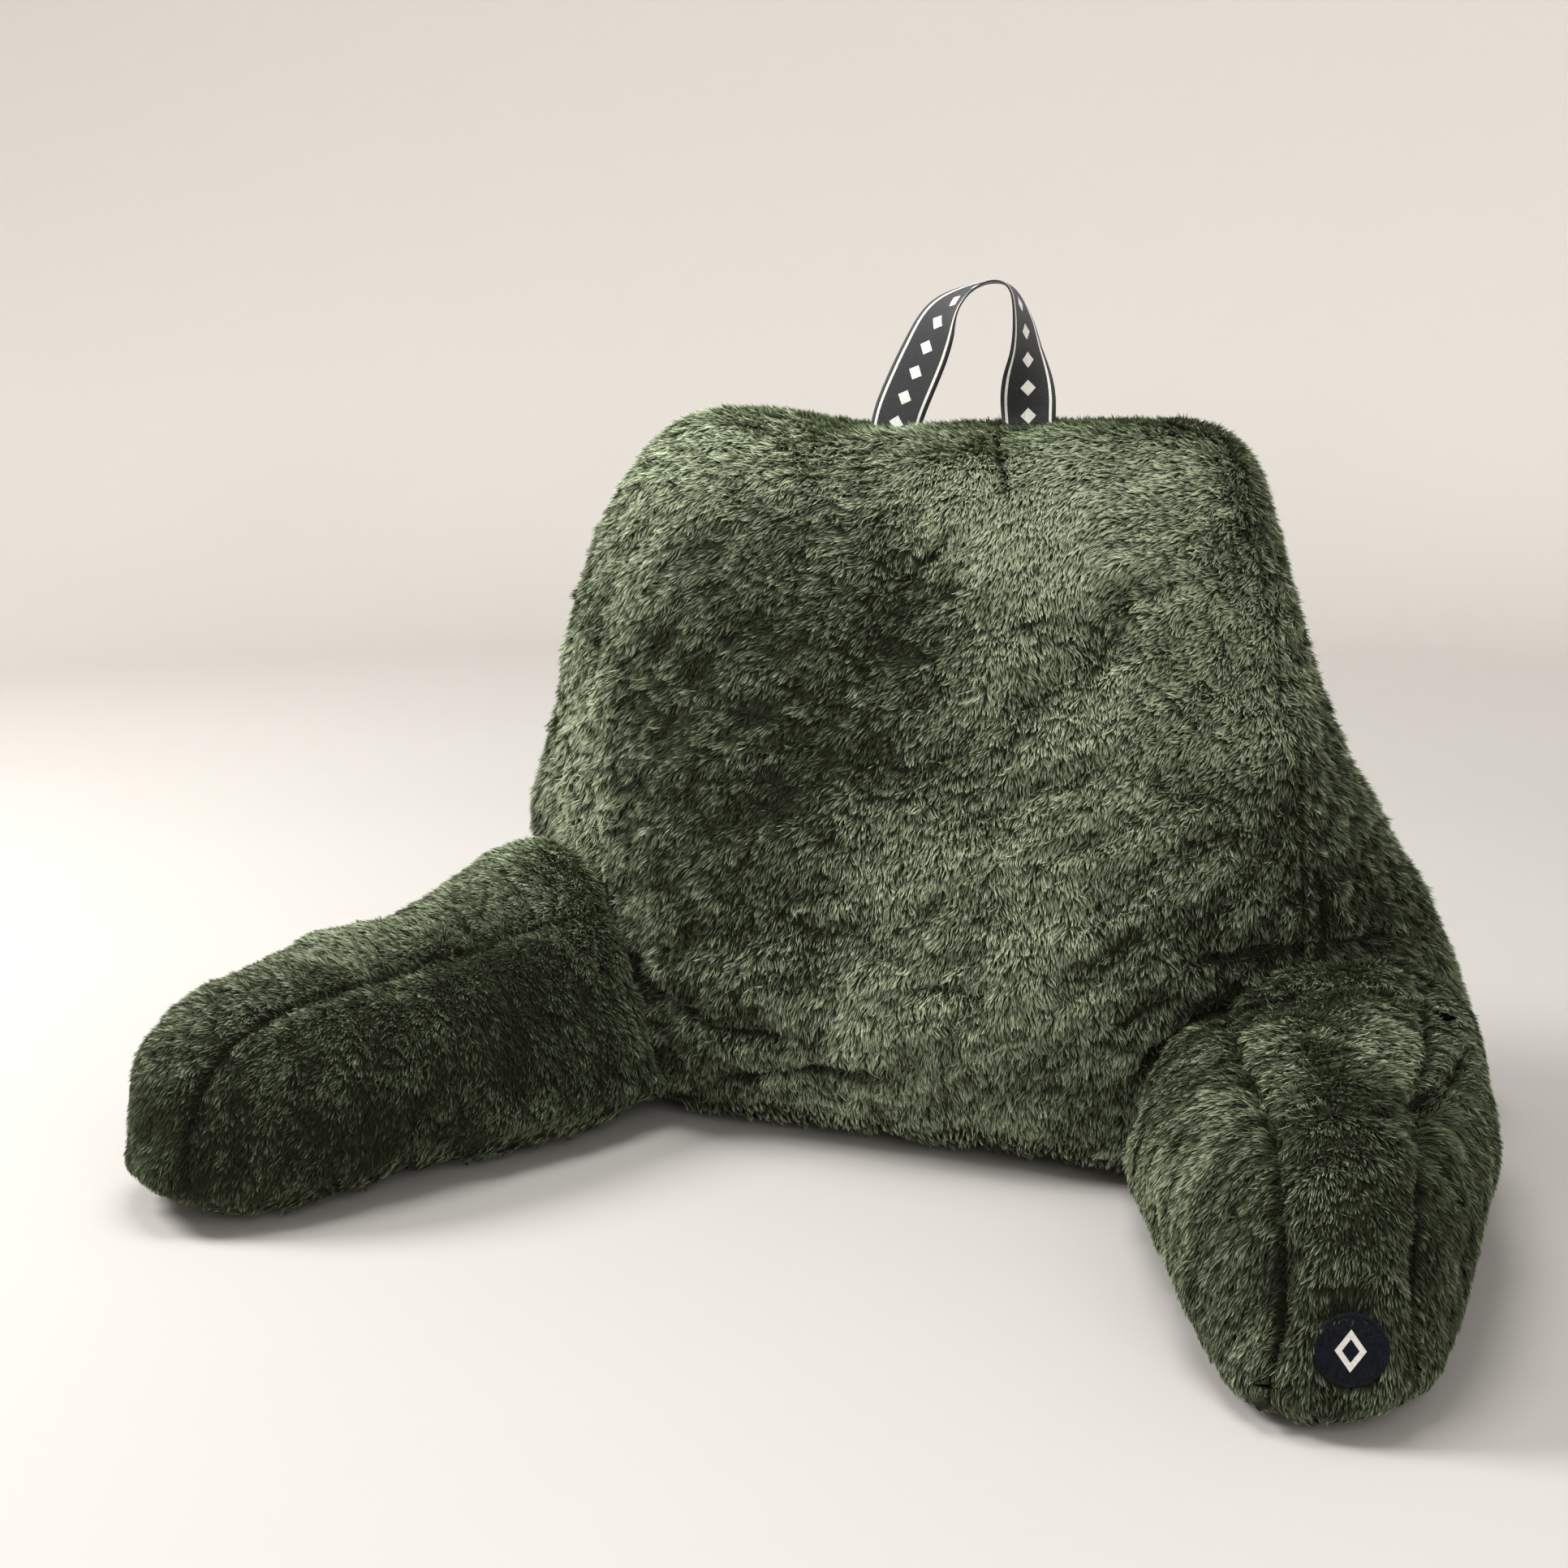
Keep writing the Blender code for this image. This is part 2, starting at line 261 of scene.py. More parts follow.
def normals_of(mesh):
    return numbers(mesh.vertex_normals, "vector", 3).astype(np.float64)


def set_places(mesh, places):
    mesh.vertices.foreach_set("co", places.astype(np.float32).ravel())
    mesh.update()


def unit(vectors):
    return vectors / np.maximum(np.linalg.norm(vectors, axis=-1, keepdims=True), 1e-12)


def smooth(values):
    values = np.clip(values, 0.0, 1.0)
    return values * values * (3 - 2 * values)


def ramped(values, start, run):
    """0 up to the start, rising smoothly to 1 over the run."""
    return smooth((values - start) / run)


def lattice_noise(places, size, seed):
    """Smooth noise between -1 and 1 whose bumps are about size across."""
    at = np.asarray(places) / size
    low = np.floor(at).astype(np.int64)
    part = smooth(at - low)
    total = np.zeros(len(at))
    for corner in range(8):
        step = np.array([(corner >> axis) & 1 for axis in range(3)])
        cell = low + step
        key = (cell * np.array([73856093, 19349663, 83492791])).sum(1) + seed * 2654435761
        key = (key ^ (key >> 13)) * 1274126177 & 0x7FFFFFFF
        key = (key ^ (key >> 16)) * 668265263 & 0x7FFFFFFF
        value = (key & 0xFFFF) / 32767.5 - 1
        weight = np.where(step == 1, part, 1 - part).prod(1)
        total += weight * value
    return total


def waves(places, shape, seed):
    """Smooth noise of a height and a size."""
    height, size = shape
    return height * lattice_noise(places, size, seed)


def bell(away, reach):
    """1 at no distance, falling to nothing past about twice the reach."""
    return np.exp(-((away / reach) ** 2))


def away_from(places, place):
    return np.linalg.norm(places - np.array(place), axis=1)


def along_face(vectors, normals):
    """The vectors without the part that stands along the normals."""
    return vectors - normals * (vectors * normals).sum(1, keepdims=True)


def above_floor(places):
    places[:, 2] = np.maximum(places[:, 2], FOOT_CLEARANCE)
    return places


def near_foot(places):
    """1 on the floor, and 0 from FOOT_REACH up."""
    return smooth(1 - places[:, 2] / FOOT_REACH)


def draw_map(mesh, name, places):
    mesh.uv_layers.new(name=name).uv.foreach_set("vector", places.astype(np.float32).ravel())


def lathed(name, profile, steps, place):
    """A smooth mesh of rings, one to each row of a profile, whose points place gives from the row
    and a turn. A row that starts with 0 is a single point."""
    shape = bmesh.new()
    rings = []
    for share, level in profile:
        if share == 0:
            rings.append([shape.verts.new(place(share, level, 0.0))] * steps)
        else:
            turns = [2 * math.pi * k / steps for k in range(steps)]
            rings.append([shape.verts.new(place(share, level, turn)) for turn in turns])
    for lower, upper in zip(rings, rings[1:]):
        for k in range(steps):
            j = (k + 1) % steps
            shape.faces.new(dict.fromkeys((lower[k], upper[k], upper[j], lower[j])))
    bmesh.ops.recalc_face_normals(shape, faces=shape.faces)
    mesh = bpy.data.meshes.new(name)
    shape.to_mesh(mesh)
    shape.free()
    mesh.shade_smooth()
    return mesh


def link(made):
    bpy.context.scene.collection.objects.link(made)
    return made


def object_of(name, mesh, material):
    mesh.materials.clear()
    mesh.materials.append(material)
    return link(bpy.data.objects.new(name, mesh))


def apply_modifiers(made):
    graph = bpy.context.evaluated_depsgraph_get()
    mesh = bpy.data.meshes.new_from_object(made.evaluated_get(graph))
    made.modifiers.clear()
    made.data = mesh


# ---- Materials ----

class Nodes:
    """A material and short ways to add nodes to it."""

    def __init__(self, name):
        self.material = bpy.data.materials.new(name)
        self.material.use_nodes = True
        self.tree = self.material.node_tree
        self.shader = self.tree.nodes["Principled BSDF"]

    def add(self, kind, **settings):
        made = self.tree.nodes.new(kind)
        for key, value in settings.items():
            setattr(made, key, value)
        return made

    def feed(self, socket, value):
        if isinstance(value, bpy.types.NodeSocket):
            self.tree.links.new(value, socket)
        else:
            socket.default_value = value

    def math(self, operation, first, second=0.0):
        made = self.add("ShaderNodeMath", operation=operation)
        self.feed(made.inputs[0], first)
        self.feed(made.inputs[1], second)
        return made.outputs[0]

    def times(self, first, second):
        return self.math("MULTIPLY", first, second)

    def plus(self, first, second):
        return self.math("ADD", first, second)

    def wave(self, value, pitch):
        return self.math("SINE", self.times(value, 2 * math.pi / pitch))

    def between(self, value, low, high):
        return self.times(
            self.math("LESS_THAN", value, high), self.math("GREATER_THAN", value, low)
        )

    def lozenge(self, x, y, half_sizes):
        """How far out in a lozenge: 0 in its middle and 1 on its outline."""
        return self.plus(*(
            self.math("DIVIDE", self.math("ABSOLUTE", way), half)
            for way, half in zip((x, y), half_sizes)
        ))

    def map_of(self, name):
        """The x and y of a UV map."""
        split = self.add("ShaderNodeSeparateXYZ")
        self.feed(split.inputs[0], self.add("ShaderNodeUVMap", uv_map=name).outputs["UV"])
        return split.outputs["X"], split.outputs["Y"]

    def here(self):
        return self.add("ShaderNodeTexCoord").outputs["Object"]

    def ramp(self, value, stops):
        made = self.add("ShaderNodeValToRGB")
        self.feed(made.inputs["Fac"], value)
        steps, stops = made.color_ramp.elements, list(stops)
        while len(steps) < len(stops):
            steps.new(0.5)
        for step, (place, colour) in zip(steps, stops):
            step.position = place
            step.color = (*colour, 1.0)
        return made.outputs["Color"]

    def mix(self, share, first, second, blend="MIX"):
        made = self.add("ShaderNodeMix", data_type="RGBA", blend_type=blend)
        self.feed(made.inputs["Factor"], share)
        self.feed(made.inputs[6], first)
        self.feed(made.inputs[7], second)
        return made.outputs[2]

    def noise(self, vector, scale, detail=2.0):
        made = self.add("ShaderNodeTexNoise")
        self.feed(made.inputs["Vector"], vector)
        made.inputs["Scale"].default_value = scale
        made.inputs["Detail"].default_value = detail
        return made.outputs["Fac"]

    def vector(self, x, y):
        made = self.add("ShaderNodeCombineXYZ")
        self.feed(made.inputs["X"], x)
        self.feed(made.inputs["Y"], y)
        return made.outputs[0]

    def bump(self, height, distance):
        made = self.add("ShaderNodeBump")
        made.inputs["Distance"].default_value = distance
        self.feed(made.inputs["Height"], height)
        self.feed(self.shader.inputs["Normal"], made.outputs["Normal"])

    def set(self, **values):
        for key, value in values.items():
            self.shader.inputs[key.replace("_", " ")].default_value = value


STRANDS_ACROSS = 3.2
STRANDS_ALONG = 1.6


def pile_material():
    """Short plush: dark at the root, which is painted shade for the depth of the pile, and frosted
    at the tip, in TONES strengths, with fine strands along each blade. The map runs over the tones
    in x, with the blade's width inside each tone, and from root to tip in y."""
    made = Nodes("pile_plush")
    across, along = made.map_of(PILE_MAP)
    tone = made.math("DIVIDE", made.math("FLOOR", made.times(across, TONES)), TONES)
    strands = made.noise(
        made.vector(made.times(across, TONES * STRANDS_ACROSS), made.times(along, STRANDS_ALONG)),
        1.0, 3.0,
    )
    # Painted shade: both ramps fall dark towards the root, where the depth of the pile lies in
    # shade, and the tone that mixes them carries painted light and shade from the comb, folds,
    # cracks and gaps.
    dark = made.ramp(along, (
        (0.00, (0.003, 0.004, 0.002)),
        (0.40, (0.009, 0.011, 0.005)),
        (0.75, (0.016, 0.020, 0.009)),
        (1.00, (0.032, 0.040, 0.017)),
    ))
    pale = made.ramp(along, (
        (0.00, (0.010, 0.013, 0.007)),
        (0.40, (0.070, 0.085, 0.050)),
        (0.75, (0.430, 0.500, 0.330)),
        (1.00, (0.790, 0.900, 0.645)),
    ))
    colour = made.mix(tone, dark, pale)
    streak = made.ramp(strands, ((0.28, (0.62, 0.62, 0.60)), (0.72, (1.28, 1.28, 1.30))))
    made.feed(made.shader.inputs["Base Color"], made.mix(1.0, colour, streak, "MULTIPLY"))
    made.feed(made.shader.inputs["Roughness"], made.ramp(
        strands, ((0.2, (0.88, 0.88, 0.88)), (0.8, (0.70, 0.70, 0.70)))
    ))
    made.set(Sheen_Weight=0.22, Sheen_Roughness=0.45, Specular_IOR_Level=0.07)
    made.shader.inputs["Sheen Tint"].default_value = (0.80, 0.94, 0.56, 1.0)
    return made.material


def skin_material():
    """The knitted ground that the pile stands in: dull, faintly ribbed and dark, which is painted
    shade for the depth of the pile.
    """
    made = Nodes("pile_ground_shade")
    knit = made.noise(made.here(), 900.0)
    made.feed(made.shader.inputs["Base Color"], made.ramp(
        knit, ((0.3, (0.014, 0.016, 0.009)), (0.7, (0.034, 0.038, 0.022)))
    ))
    made.bump(knit, 0.0006)
    made.set(Roughness=0.95, Specular_IOR_Level=0.15)
    return made.material


# ---- Seams and creases ----

# Where the back's two seams run, as in the CAD: y from the middle, x of each side.
BACK_SEAM_COLUMNS = ("z", "front_y", "left", "right", "rear_y", "rear_left", "rear_right")
BACK_SEAM_ROWS = (
    (0.000, -0.146, -0.196, 0.200, 0.148, -0.320, 0.335),
    (0.080, -0.128, -0.216, 0.236, 0.128, -0.318, 0.318),
    (0.160, -0.110, -0.230, 0.260, 0.104, -0.286, 0.272),
    (0.240, -0.098, -0.240, 0.254, 0.082, -0.254, 0.228),
    (0.320, -0.090, -0.240, 0.240, 0.064, -0.228, 0.194),
    (0.400, -0.084, -0.232, 0.224, 0.052, -0.210, 0.182),
    (0.446, -0.079, -0.217, 0.200, 0.044, -0.186, 0.166),
    (0.458, -0.078, -0.190, 0.174, 0.042, -0.162, 0.142),
)

# The arms' seams: root and tip of the inner one in plan, the strip's width and the seam's height.
ARM_COLUMNS = (
    "name", "side", "root_x", "root_y", "tip_x", "tip_y", "root_width", "tip_width",
    "root_height", "tip_height", "lean",
)
ARM_ROWS = (
    ("arm_right", 1, 0.118, -0.040, 0.316, -0.452, 0.204, 0.074, 0.124, 0.132, 0.050),
    ("arm_left", -1, 0.118, -0.040, 0.317, -0.456, 0.196, 0.082, 0.148, 0.126, 0.060),
)
ARM_TIP_RADIUS = 0.080
ARM_TIP_STEP = 15

# How far the skin is drawn in at the two ends of a seam: up one side of the back, over its top and
# down the other side, and along an arm's seams by the side it is on
BACK_RISES = ((-0.004, -0.002), (0.0, 0.0), (-0.004, -0.005))
ARM_RISES = {1: (-0.0050, -0.0080), -1: (-0.004, -0.005)}

# Creases as the photograph shows them, along its pixels. The rise is below 0 for a tuck.
CREASE_COLUMNS = ("rise", "half_width", "pixels")
CREASES = {
    "back_skin": (
        (-0.003, 0.007, ((1225, 524), (1234, 570), (1245, 622))),
        (-0.0032, 0.008, ((1182, 640), (1140, 690), (1082, 742))),
        (0.004, 0.012, ((1200, 600), (1150, 660), (1110, 700))),
        (-0.0032, 0.009, ((1480, 712), (1440, 722), (1372, 752), (1330, 800))),
        (-0.0022, 0.009, ((1392, 750), (1362, 794), (1340, 850))),
        (0.004, 0.012, ((1500, 660), (1420, 690), (1350, 720))),
        (0.004, 0.012, ((1230, 760), (1222, 860), (1238, 1000))),
        (-0.0045, 0.008, ((840, 790), (790, 800), (745, 832))),
        (-0.0060, 0.006, ((772, 1200), (880, 1268), (1000, 1280))),
        (-0.0045, 0.006, ((1100, 1222), (1155, 1216), (1230, 1232))),
        (-0.006, 0.008, ((860, 1330), (1000, 1320), (1140, 1340))),
        (-0.010, 0.009, ((1395, 1335), (1421, 1301), (1468, 1263), (1539, 1230))),
        (-0.0075, 0.007, ((1440, 1200), (1492, 1182), (1549, 1175), (1634, 1163))),
        (-0.010, 0.006, ((1596, 1178), (1634, 1163), (1709, 1149), (1790, 1168))),
        (-0.006, 0.005, ((1629, 1060), (1631, 1116), (1634, 1163))),
    ),
    "arm_right_skin": (
        (-0.012, 0.007, ((1468, 1263), (1539, 1230), (1596, 1215), (1653, 1213))),
        (-0.013, 0.007, ((1653, 1213), (1719, 1225), (1775, 1258), (1804, 1296))),
        (-0.014, 0.007, ((1804, 1290), (1790, 1334), (1757, 1353), (1728, 1371))),
        (-0.008, 0.006, ((1500, 1290), (1553, 1249), (1596, 1244), (1681, 1253))),
        (-0.009, 0.006, ((1540, 1300), (1600, 1272), (1660, 1280), (1740, 1310))),
        (-0.008, 0.006, ((1549, 1353), (1577, 1334), (1605, 1343), (1643, 1334))),
        (-0.009, 0.006, ((1553, 1400), (1596, 1371), (1643, 1362), (1728, 1368))),
        (-0.005, 0.006, ((1766, 1419), (1794, 1461), (1799, 1520))),
    ),
    "arm_left_skin": (
        (-0.005, 0.007, ((560, 1110), (600, 1180), (640, 1260))),
        (-0.004, 0.006, ((338, 1425), (380, 1440), (400, 1470))),
    ),
}

# Where the filling stands fuller or flatter than the CAD: the place, how far that reaches and how
# much the skin stands out there, in metres.
SWELL_COLUMNS = ("place", "reach", "rise")
SWELLS = {
    "back_skin": (
        ((-0.245, -0.030, 0.425), 0.035, -0.005),
        ((-0.175, -0.020, 0.462), 0.055, 0.008),
        ((-0.310, -0.020, 0.180), 0.050, 0.014),
        ((-0.262, -0.045, 0.310), 0.080, 0.004),
        ((0.168, -0.010, 0.445), 0.035, 0.007),
        ((0.235, 0.020, 0.300), 0.090, 0.003),
        ((0.280, 0.062, 0.165), 0.080, 0.010),
        ((0.312, 0.102, 0.080), 0.050, 0.005),
    ),
    "arm_left_skin": (
        ((-0.290, -0.115, 0.150), 0.055, 0.019),
        ((-0.311, -0.208, 0.153), 0.040, -0.004),
        ((-0.340, -0.375, 0.140), 0.070, -0.008),
        ((-0.369, -0.444, 0.032), 0.040, -0.006),
        ((-0.285, -0.370, 0.010), 0.100, 0.012),
        ((-0.215, -0.220, 0.010), 0.070, 0.014),
    ),
    "arm_right_skin": (
        ((0.338, -0.075, 0.108), 0.050, 0.010),
        ((0.374, -0.165, 0.075), 0.055, 0.006),
        ((0.390, -0.315, 0.050), 0.050, -0.002),
        ((0.265, -0.405, 0.035), 0.045, 0.005),
        ((0.330, -0.430, 0.000), 0.042, 0.008),
    ),
}

# Where the cloth is gathered, so that its wrinkles are deeper.
GATHER_COLUMNS = ("place", "reach", "gain")
GATHERS = (
    ((0.250, -0.105, 0.125), 0.085, 1.0),
    ((0.150, -0.100, 0.270), 0.110, 0.45),
    ((-0.190, -0.145, 0.080), 0.070, 0.6),
    ((0.000, -0.140, 0.030), 0.110, 0.5),
)


def table(columns, rows):
    return [dict(zip(columns, row)) for row in rows]


def back_seams():
    """The front and rear seams of the back, from the floor up one side, over the top and down, each
    part with its rises."""
    rows = table(BACK_SEAM_COLUMNS, BACK_SEAM_ROWS)
    seams = []
    for depth, left, right in (("front_y", "left", "right"), ("rear_y", "rear_left", "rear_right")):
        up = [(row[left], row[depth], row["z"]) for row in rows]
        down = [(row[right], row[depth], row["z"]) for row in reversed(rows)]
        seams += zip((up[:-1], [up[-1], down[0]], down[1:]), BACK_RISES)
    return seams


def arm_seams(arm):
    """The inner and outer seams of an arm, along its top and down its rounded tip."""
    side = arm["side"]
    root = np.array((side * arm["root_x"], arm["root_y"]))
    tip = np.array((side * arm["tip_x"], arm["tip_y"]))
    length = np.linalg.norm(tip - root)
    axis = (tip - root) / length
    across = np.array((-axis[1], axis[0])) * side
    turns = np.radians(np.arange(0, 91, ARM_TIP_STEP))
    along = np.concatenate([[0], length - ARM_TIP_RADIUS * (1 - np.sin(turns)), [length]])
    height = arm["tip_height"] - ARM_TIP_RADIUS * (1 - np.cos(turns))
    height = np.concatenate([[arm["root_height"]], height, [0]])
    width = between((arm["root_width"], arm["tip_width"]), along / length)
    lean = arm["lean"] * (1 - along / length) * height / arm["root_height"]
    seams = []
    for aside in (lean, width):
        plan = root + axis * along[:, None] + across * aside[:, None]
        seams.append((np.column_stack([plan, height]), ARM_RISES[side]))
    return seams


def along_line(points, step):
    """Points at about equal steps along an open line."""
    points = np.array(points, float)
    lengths = np.linalg.norm(np.diff(points, axis=0), axis=1)
    walked = np.concatenate([[0], np.cumsum(lengths)])
    at = np.linspace(0, walked[-1], max(int(walked[-1] / step), 2))
    return np.stack([np.interp(at, walked, values) for values in points.T], 1)


def on_surface(tree, points):
    """Each point's nearest place on a surface."""
    return np.array([tree.find_nearest(Vector(point))[0] for point in points])


def seen_on(tree, pixels):
    """Where the camera sees a line of pixels on a surface."""
    found = []
    for x, y in along_line(pixels, PIXEL_STEP):
        place = tree.ray_cast(Vector(CAMERA_PLACE), ray_through(x, y))[0]
        if place is not None:
            found.append(place)
    return np.array(found)


def tree_at(points):
    tree = KDTree(len(points))
    for i, place in enumerate(points):
        tree.insert(place, i)
    tree.balance()
    return tree


def distance_to(points, line):
    """Each point's distance to a line's nearest point, how far along that lies and which it is."""
    tree = tree_at(line)
    found = [tree.find(point) for point in points]
    away = np.array([hit[2] for hit in found])
    nearest = np.array([hit[1] for hit in found], int)
    return away, nearest / max(len(line) - 1, 1), nearest


def close_to(places, line, reach):
    """The indexes of the places that lie in a line's box, or within reach of it."""
    low, high = line.min(0) - reach, line.max(0) + reach
    return np.flatnonzero(((places > low) & (places < high)).all(1))


def between(ends, share):
    return ends[0] + (ends[1] - ends[0]) * share


def tapered(share, taper):
    """1 along a line, falling to 0 over the taper at both its ends."""
    return smooth(np.minimum(share, 1 - share) / taper) if taper else 1.0


def pressed(made, line, rises, half_width, taper=0.0):
    """Moves a skin in or out along a line, by rises at its two ends, less there with a taper."""
    mesh = made.data
    places, normals = places_of(mesh), normals_of(mesh)
    near = close_to(places, line, PRESS_SEEK * half_width)
    away, share, _ = distance_to(places[near], line)
    strength = bell(away, half_width) * tapered(share, taper)
    rise = between(rises, share)
    places[near] += normals[near] * (PRESS_SHARE * strength * rise)[:, None]
    set_places(mesh, places)
    sunk = SUNK[made.name]
    sunk[near] = np.maximum(sunk[near], strength * np.clip(-rise / SUNK_FULL, 0.0, 1.0))
    if min(rises) < 0:
        FOLDS[made.name].append((line, rises, taper))


# ---- Filled skins ----

def tree_of(mesh):
    mesh.calc_loop_triangles()
    places = [tuple(place) for place in places_of(mesh)]
    faces = numbers(mesh.loop_triangles, "vertices", 3, np.int32)
    return BVHTree.FromPolygons(places, faces.tolist())


def even_copy(node, name):
    """A copy of a CAD cushion in even faces."""
    made = link(bpy.data.objects.new(name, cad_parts[node].data.copy()))
    weld = made.modifiers.new("weld", "WELD")
    weld.merge_threshold = 0.00001
    remesh = made.modifiers.new("even", "REMESH")
    remesh.mode = "VOXEL"
    remesh.voxel_size = VOXEL
    relax = made.modifiers.new("relax", "SMOOTH")
    relax.factor = 0.5
    relax.iterations = 2
    apply_modifiers(made)
    return made


def filled(made, seams, rises):
    """Swells the skin between its seams by cloth simulation, each point by FILLING_ROOM at most."""
    before = places_of(made.data)
    held = np.zeros(len(before))
    for seam, ends in zip(seams, rises):
        away, share, _ = distance_to(before, seam)
        tight = np.clip(between(ends, share) / -PINNED_RISE, 0, 1)
        held = np.maximum(held, tight * bell(away, SEAM_PIN_WIDTH))
    pins = made.vertex_groups.new(name="seams")
    for i in np.flatnonzero(held > LEAST_PIN):
        pins.add([int(i)], float(held[i]), "REPLACE")
    cloth = made.modifiers.new("filling", "CLOTH")
    cloth.settings.use_pressure = True
    cloth.settings.uniform_pressure_force = FILLING_PRESSURE
    cloth.settings.effector_weights.gravity = 0.0
    cloth.settings.vertex_group_mass = "seams"
    cloth.settings.pin_stiffness = 2.0
    cloth.settings.quality = 4
    cloth.collision_settings.use_collision = False
    cloth.point_cache.frame_end = FILLING_FRAMES
    for step in range(1, FILLING_FRAMES + 1):
        bpy.context.scene.frame_set(step)
    apply_modifiers(made)
    bpy.context.scene.frame_set(1)
    after = places_of(made.data)
    moved = after - before
    far = np.linalg.norm(moved, axis=1, keepdims=True)
    set_places(made.data, before + moved * np.minimum(1, FILLING_ROOM / np.maximum(far, 1e-9)))


def drawn_in(made, room, host):
    """Moves a skin in by room, and on into its host's pile where it is sewn against the host."""
    places, normals = places_of(made.data), normals_of(made.data)
    moves = -normals * room
    if host:
        tree = tree_of(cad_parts[host].data)
        for i, place in enumerate(places):
            nearest, out, _, away = tree.find_nearest(Vector(place), SEWN_SEEK)
            if nearest is None:
                continue
            share = float(smooth((SEWN_REACH - away) / SEWN_BLEND))
            out = np.array(out)
            sideways = normals[i] - out * (normals[i] @ out)
            length = np.linalg.norm(sideways)
            sideways = sideways / max(length, 1e-6) * float(smooth(length / SIDEWAYS_FULL))
            moves[i] = moves[i] * (1 - share) - (sideways * room + out * TUCK_DEPTH) * share
    set_places(made.data, places + moves)


def settled(mesh):
    """Lets a skin down on the floor, flat underneath and fuller round its foot."""
    places, normals = places_of(mesh), normals_of(mesh)
    low = near_foot(places)
    places[:, :2] += normals[:, :2] * (FOOT_SPREAD * low)[:, None]
    places[:, 2] -= (places[:, 2].min() + GROUND_DEPTH) * low
    set_places(mesh, above_floor(places))


def cleared(mesh, middle, out, radius):
    """Presses a skin to just under the patch that is sewn on it."""
    reach, blend, depth = PATCH_PRESS
    places = places_of(mesh)
    offset = places - middle
    height = offset @ out
    aside = np.linalg.norm(offset - np.outer(height, out), axis=1)
    share = smooth((reach * radius - aside) / (blend * radius)) * (height > -depth)
    places -= np.outer(np.maximum(height + PATCH_SEAT, 0) * share, out)
    set_places(mesh, places)


def skin_of(node, name, seams, axis, host=None):
    """A cushion's filled skin: drawn in under the pile, swollen, seamed and flat underneath."""
    made = even_copy(node, name)
    drawn_in(made, SKIN_DEPTH + SLACK, host)
    tree = tree_of(made.data)
    lines = [on_surface(tree, along_line(seam, SEAM_STEP)) for seam, _ in seams]
    filled(made, lines, [rises for _, rises in seams])
    set_places(made.data, above_floor(places_of(made.data)))
    finer = made.modifiers.new("finer", "SUBSURF")
    finer.levels = finer.render_levels = 1
    apply_modifiers(made)
    mesh = made.data
    SUNK[name] = np.zeros(len(mesh.vertices))
    FOLDS[name] = []
    for line, (_, rises) in zip(lines, seams):
        pressed(made, on_surface(tree_of(mesh), line), rises, SEAM_HALF_WIDTH)
    tree = tree_of(mesh)
    for crease in table(CREASE_COLUMNS, CREASES[name]):
        line = seen_on(tree, crease["pixels"])
        if len(line) > 2:
            pressed(made, line, [crease["rise"]] * 2, crease["half_width"], CREASE_TAPER)
    places, normals = places_of(mesh), normals_of(mesh)
    swell = FULLNESS + waves(places, BROAD_SWELL, SEED)
    for fuller in table(SWELL_COLUMNS, SWELLS[name]):
        swell += fuller["rise"] * bell(away_from(places, fuller["place"]), fuller["reach"])
    swell += waves(places, FINE_SWELL, SEED + 1)
    swell += waves(draped(places, axis), DRAPED_SWELL, SEED + 2)
    set_places(mesh, places + normals * swell[:, None])
    settled(mesh)
    mesh.shade_smooth()
    mesh.materials.clear()
    mesh.materials.append(SKIN)
    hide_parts(node)
    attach(made, "root")
    return made
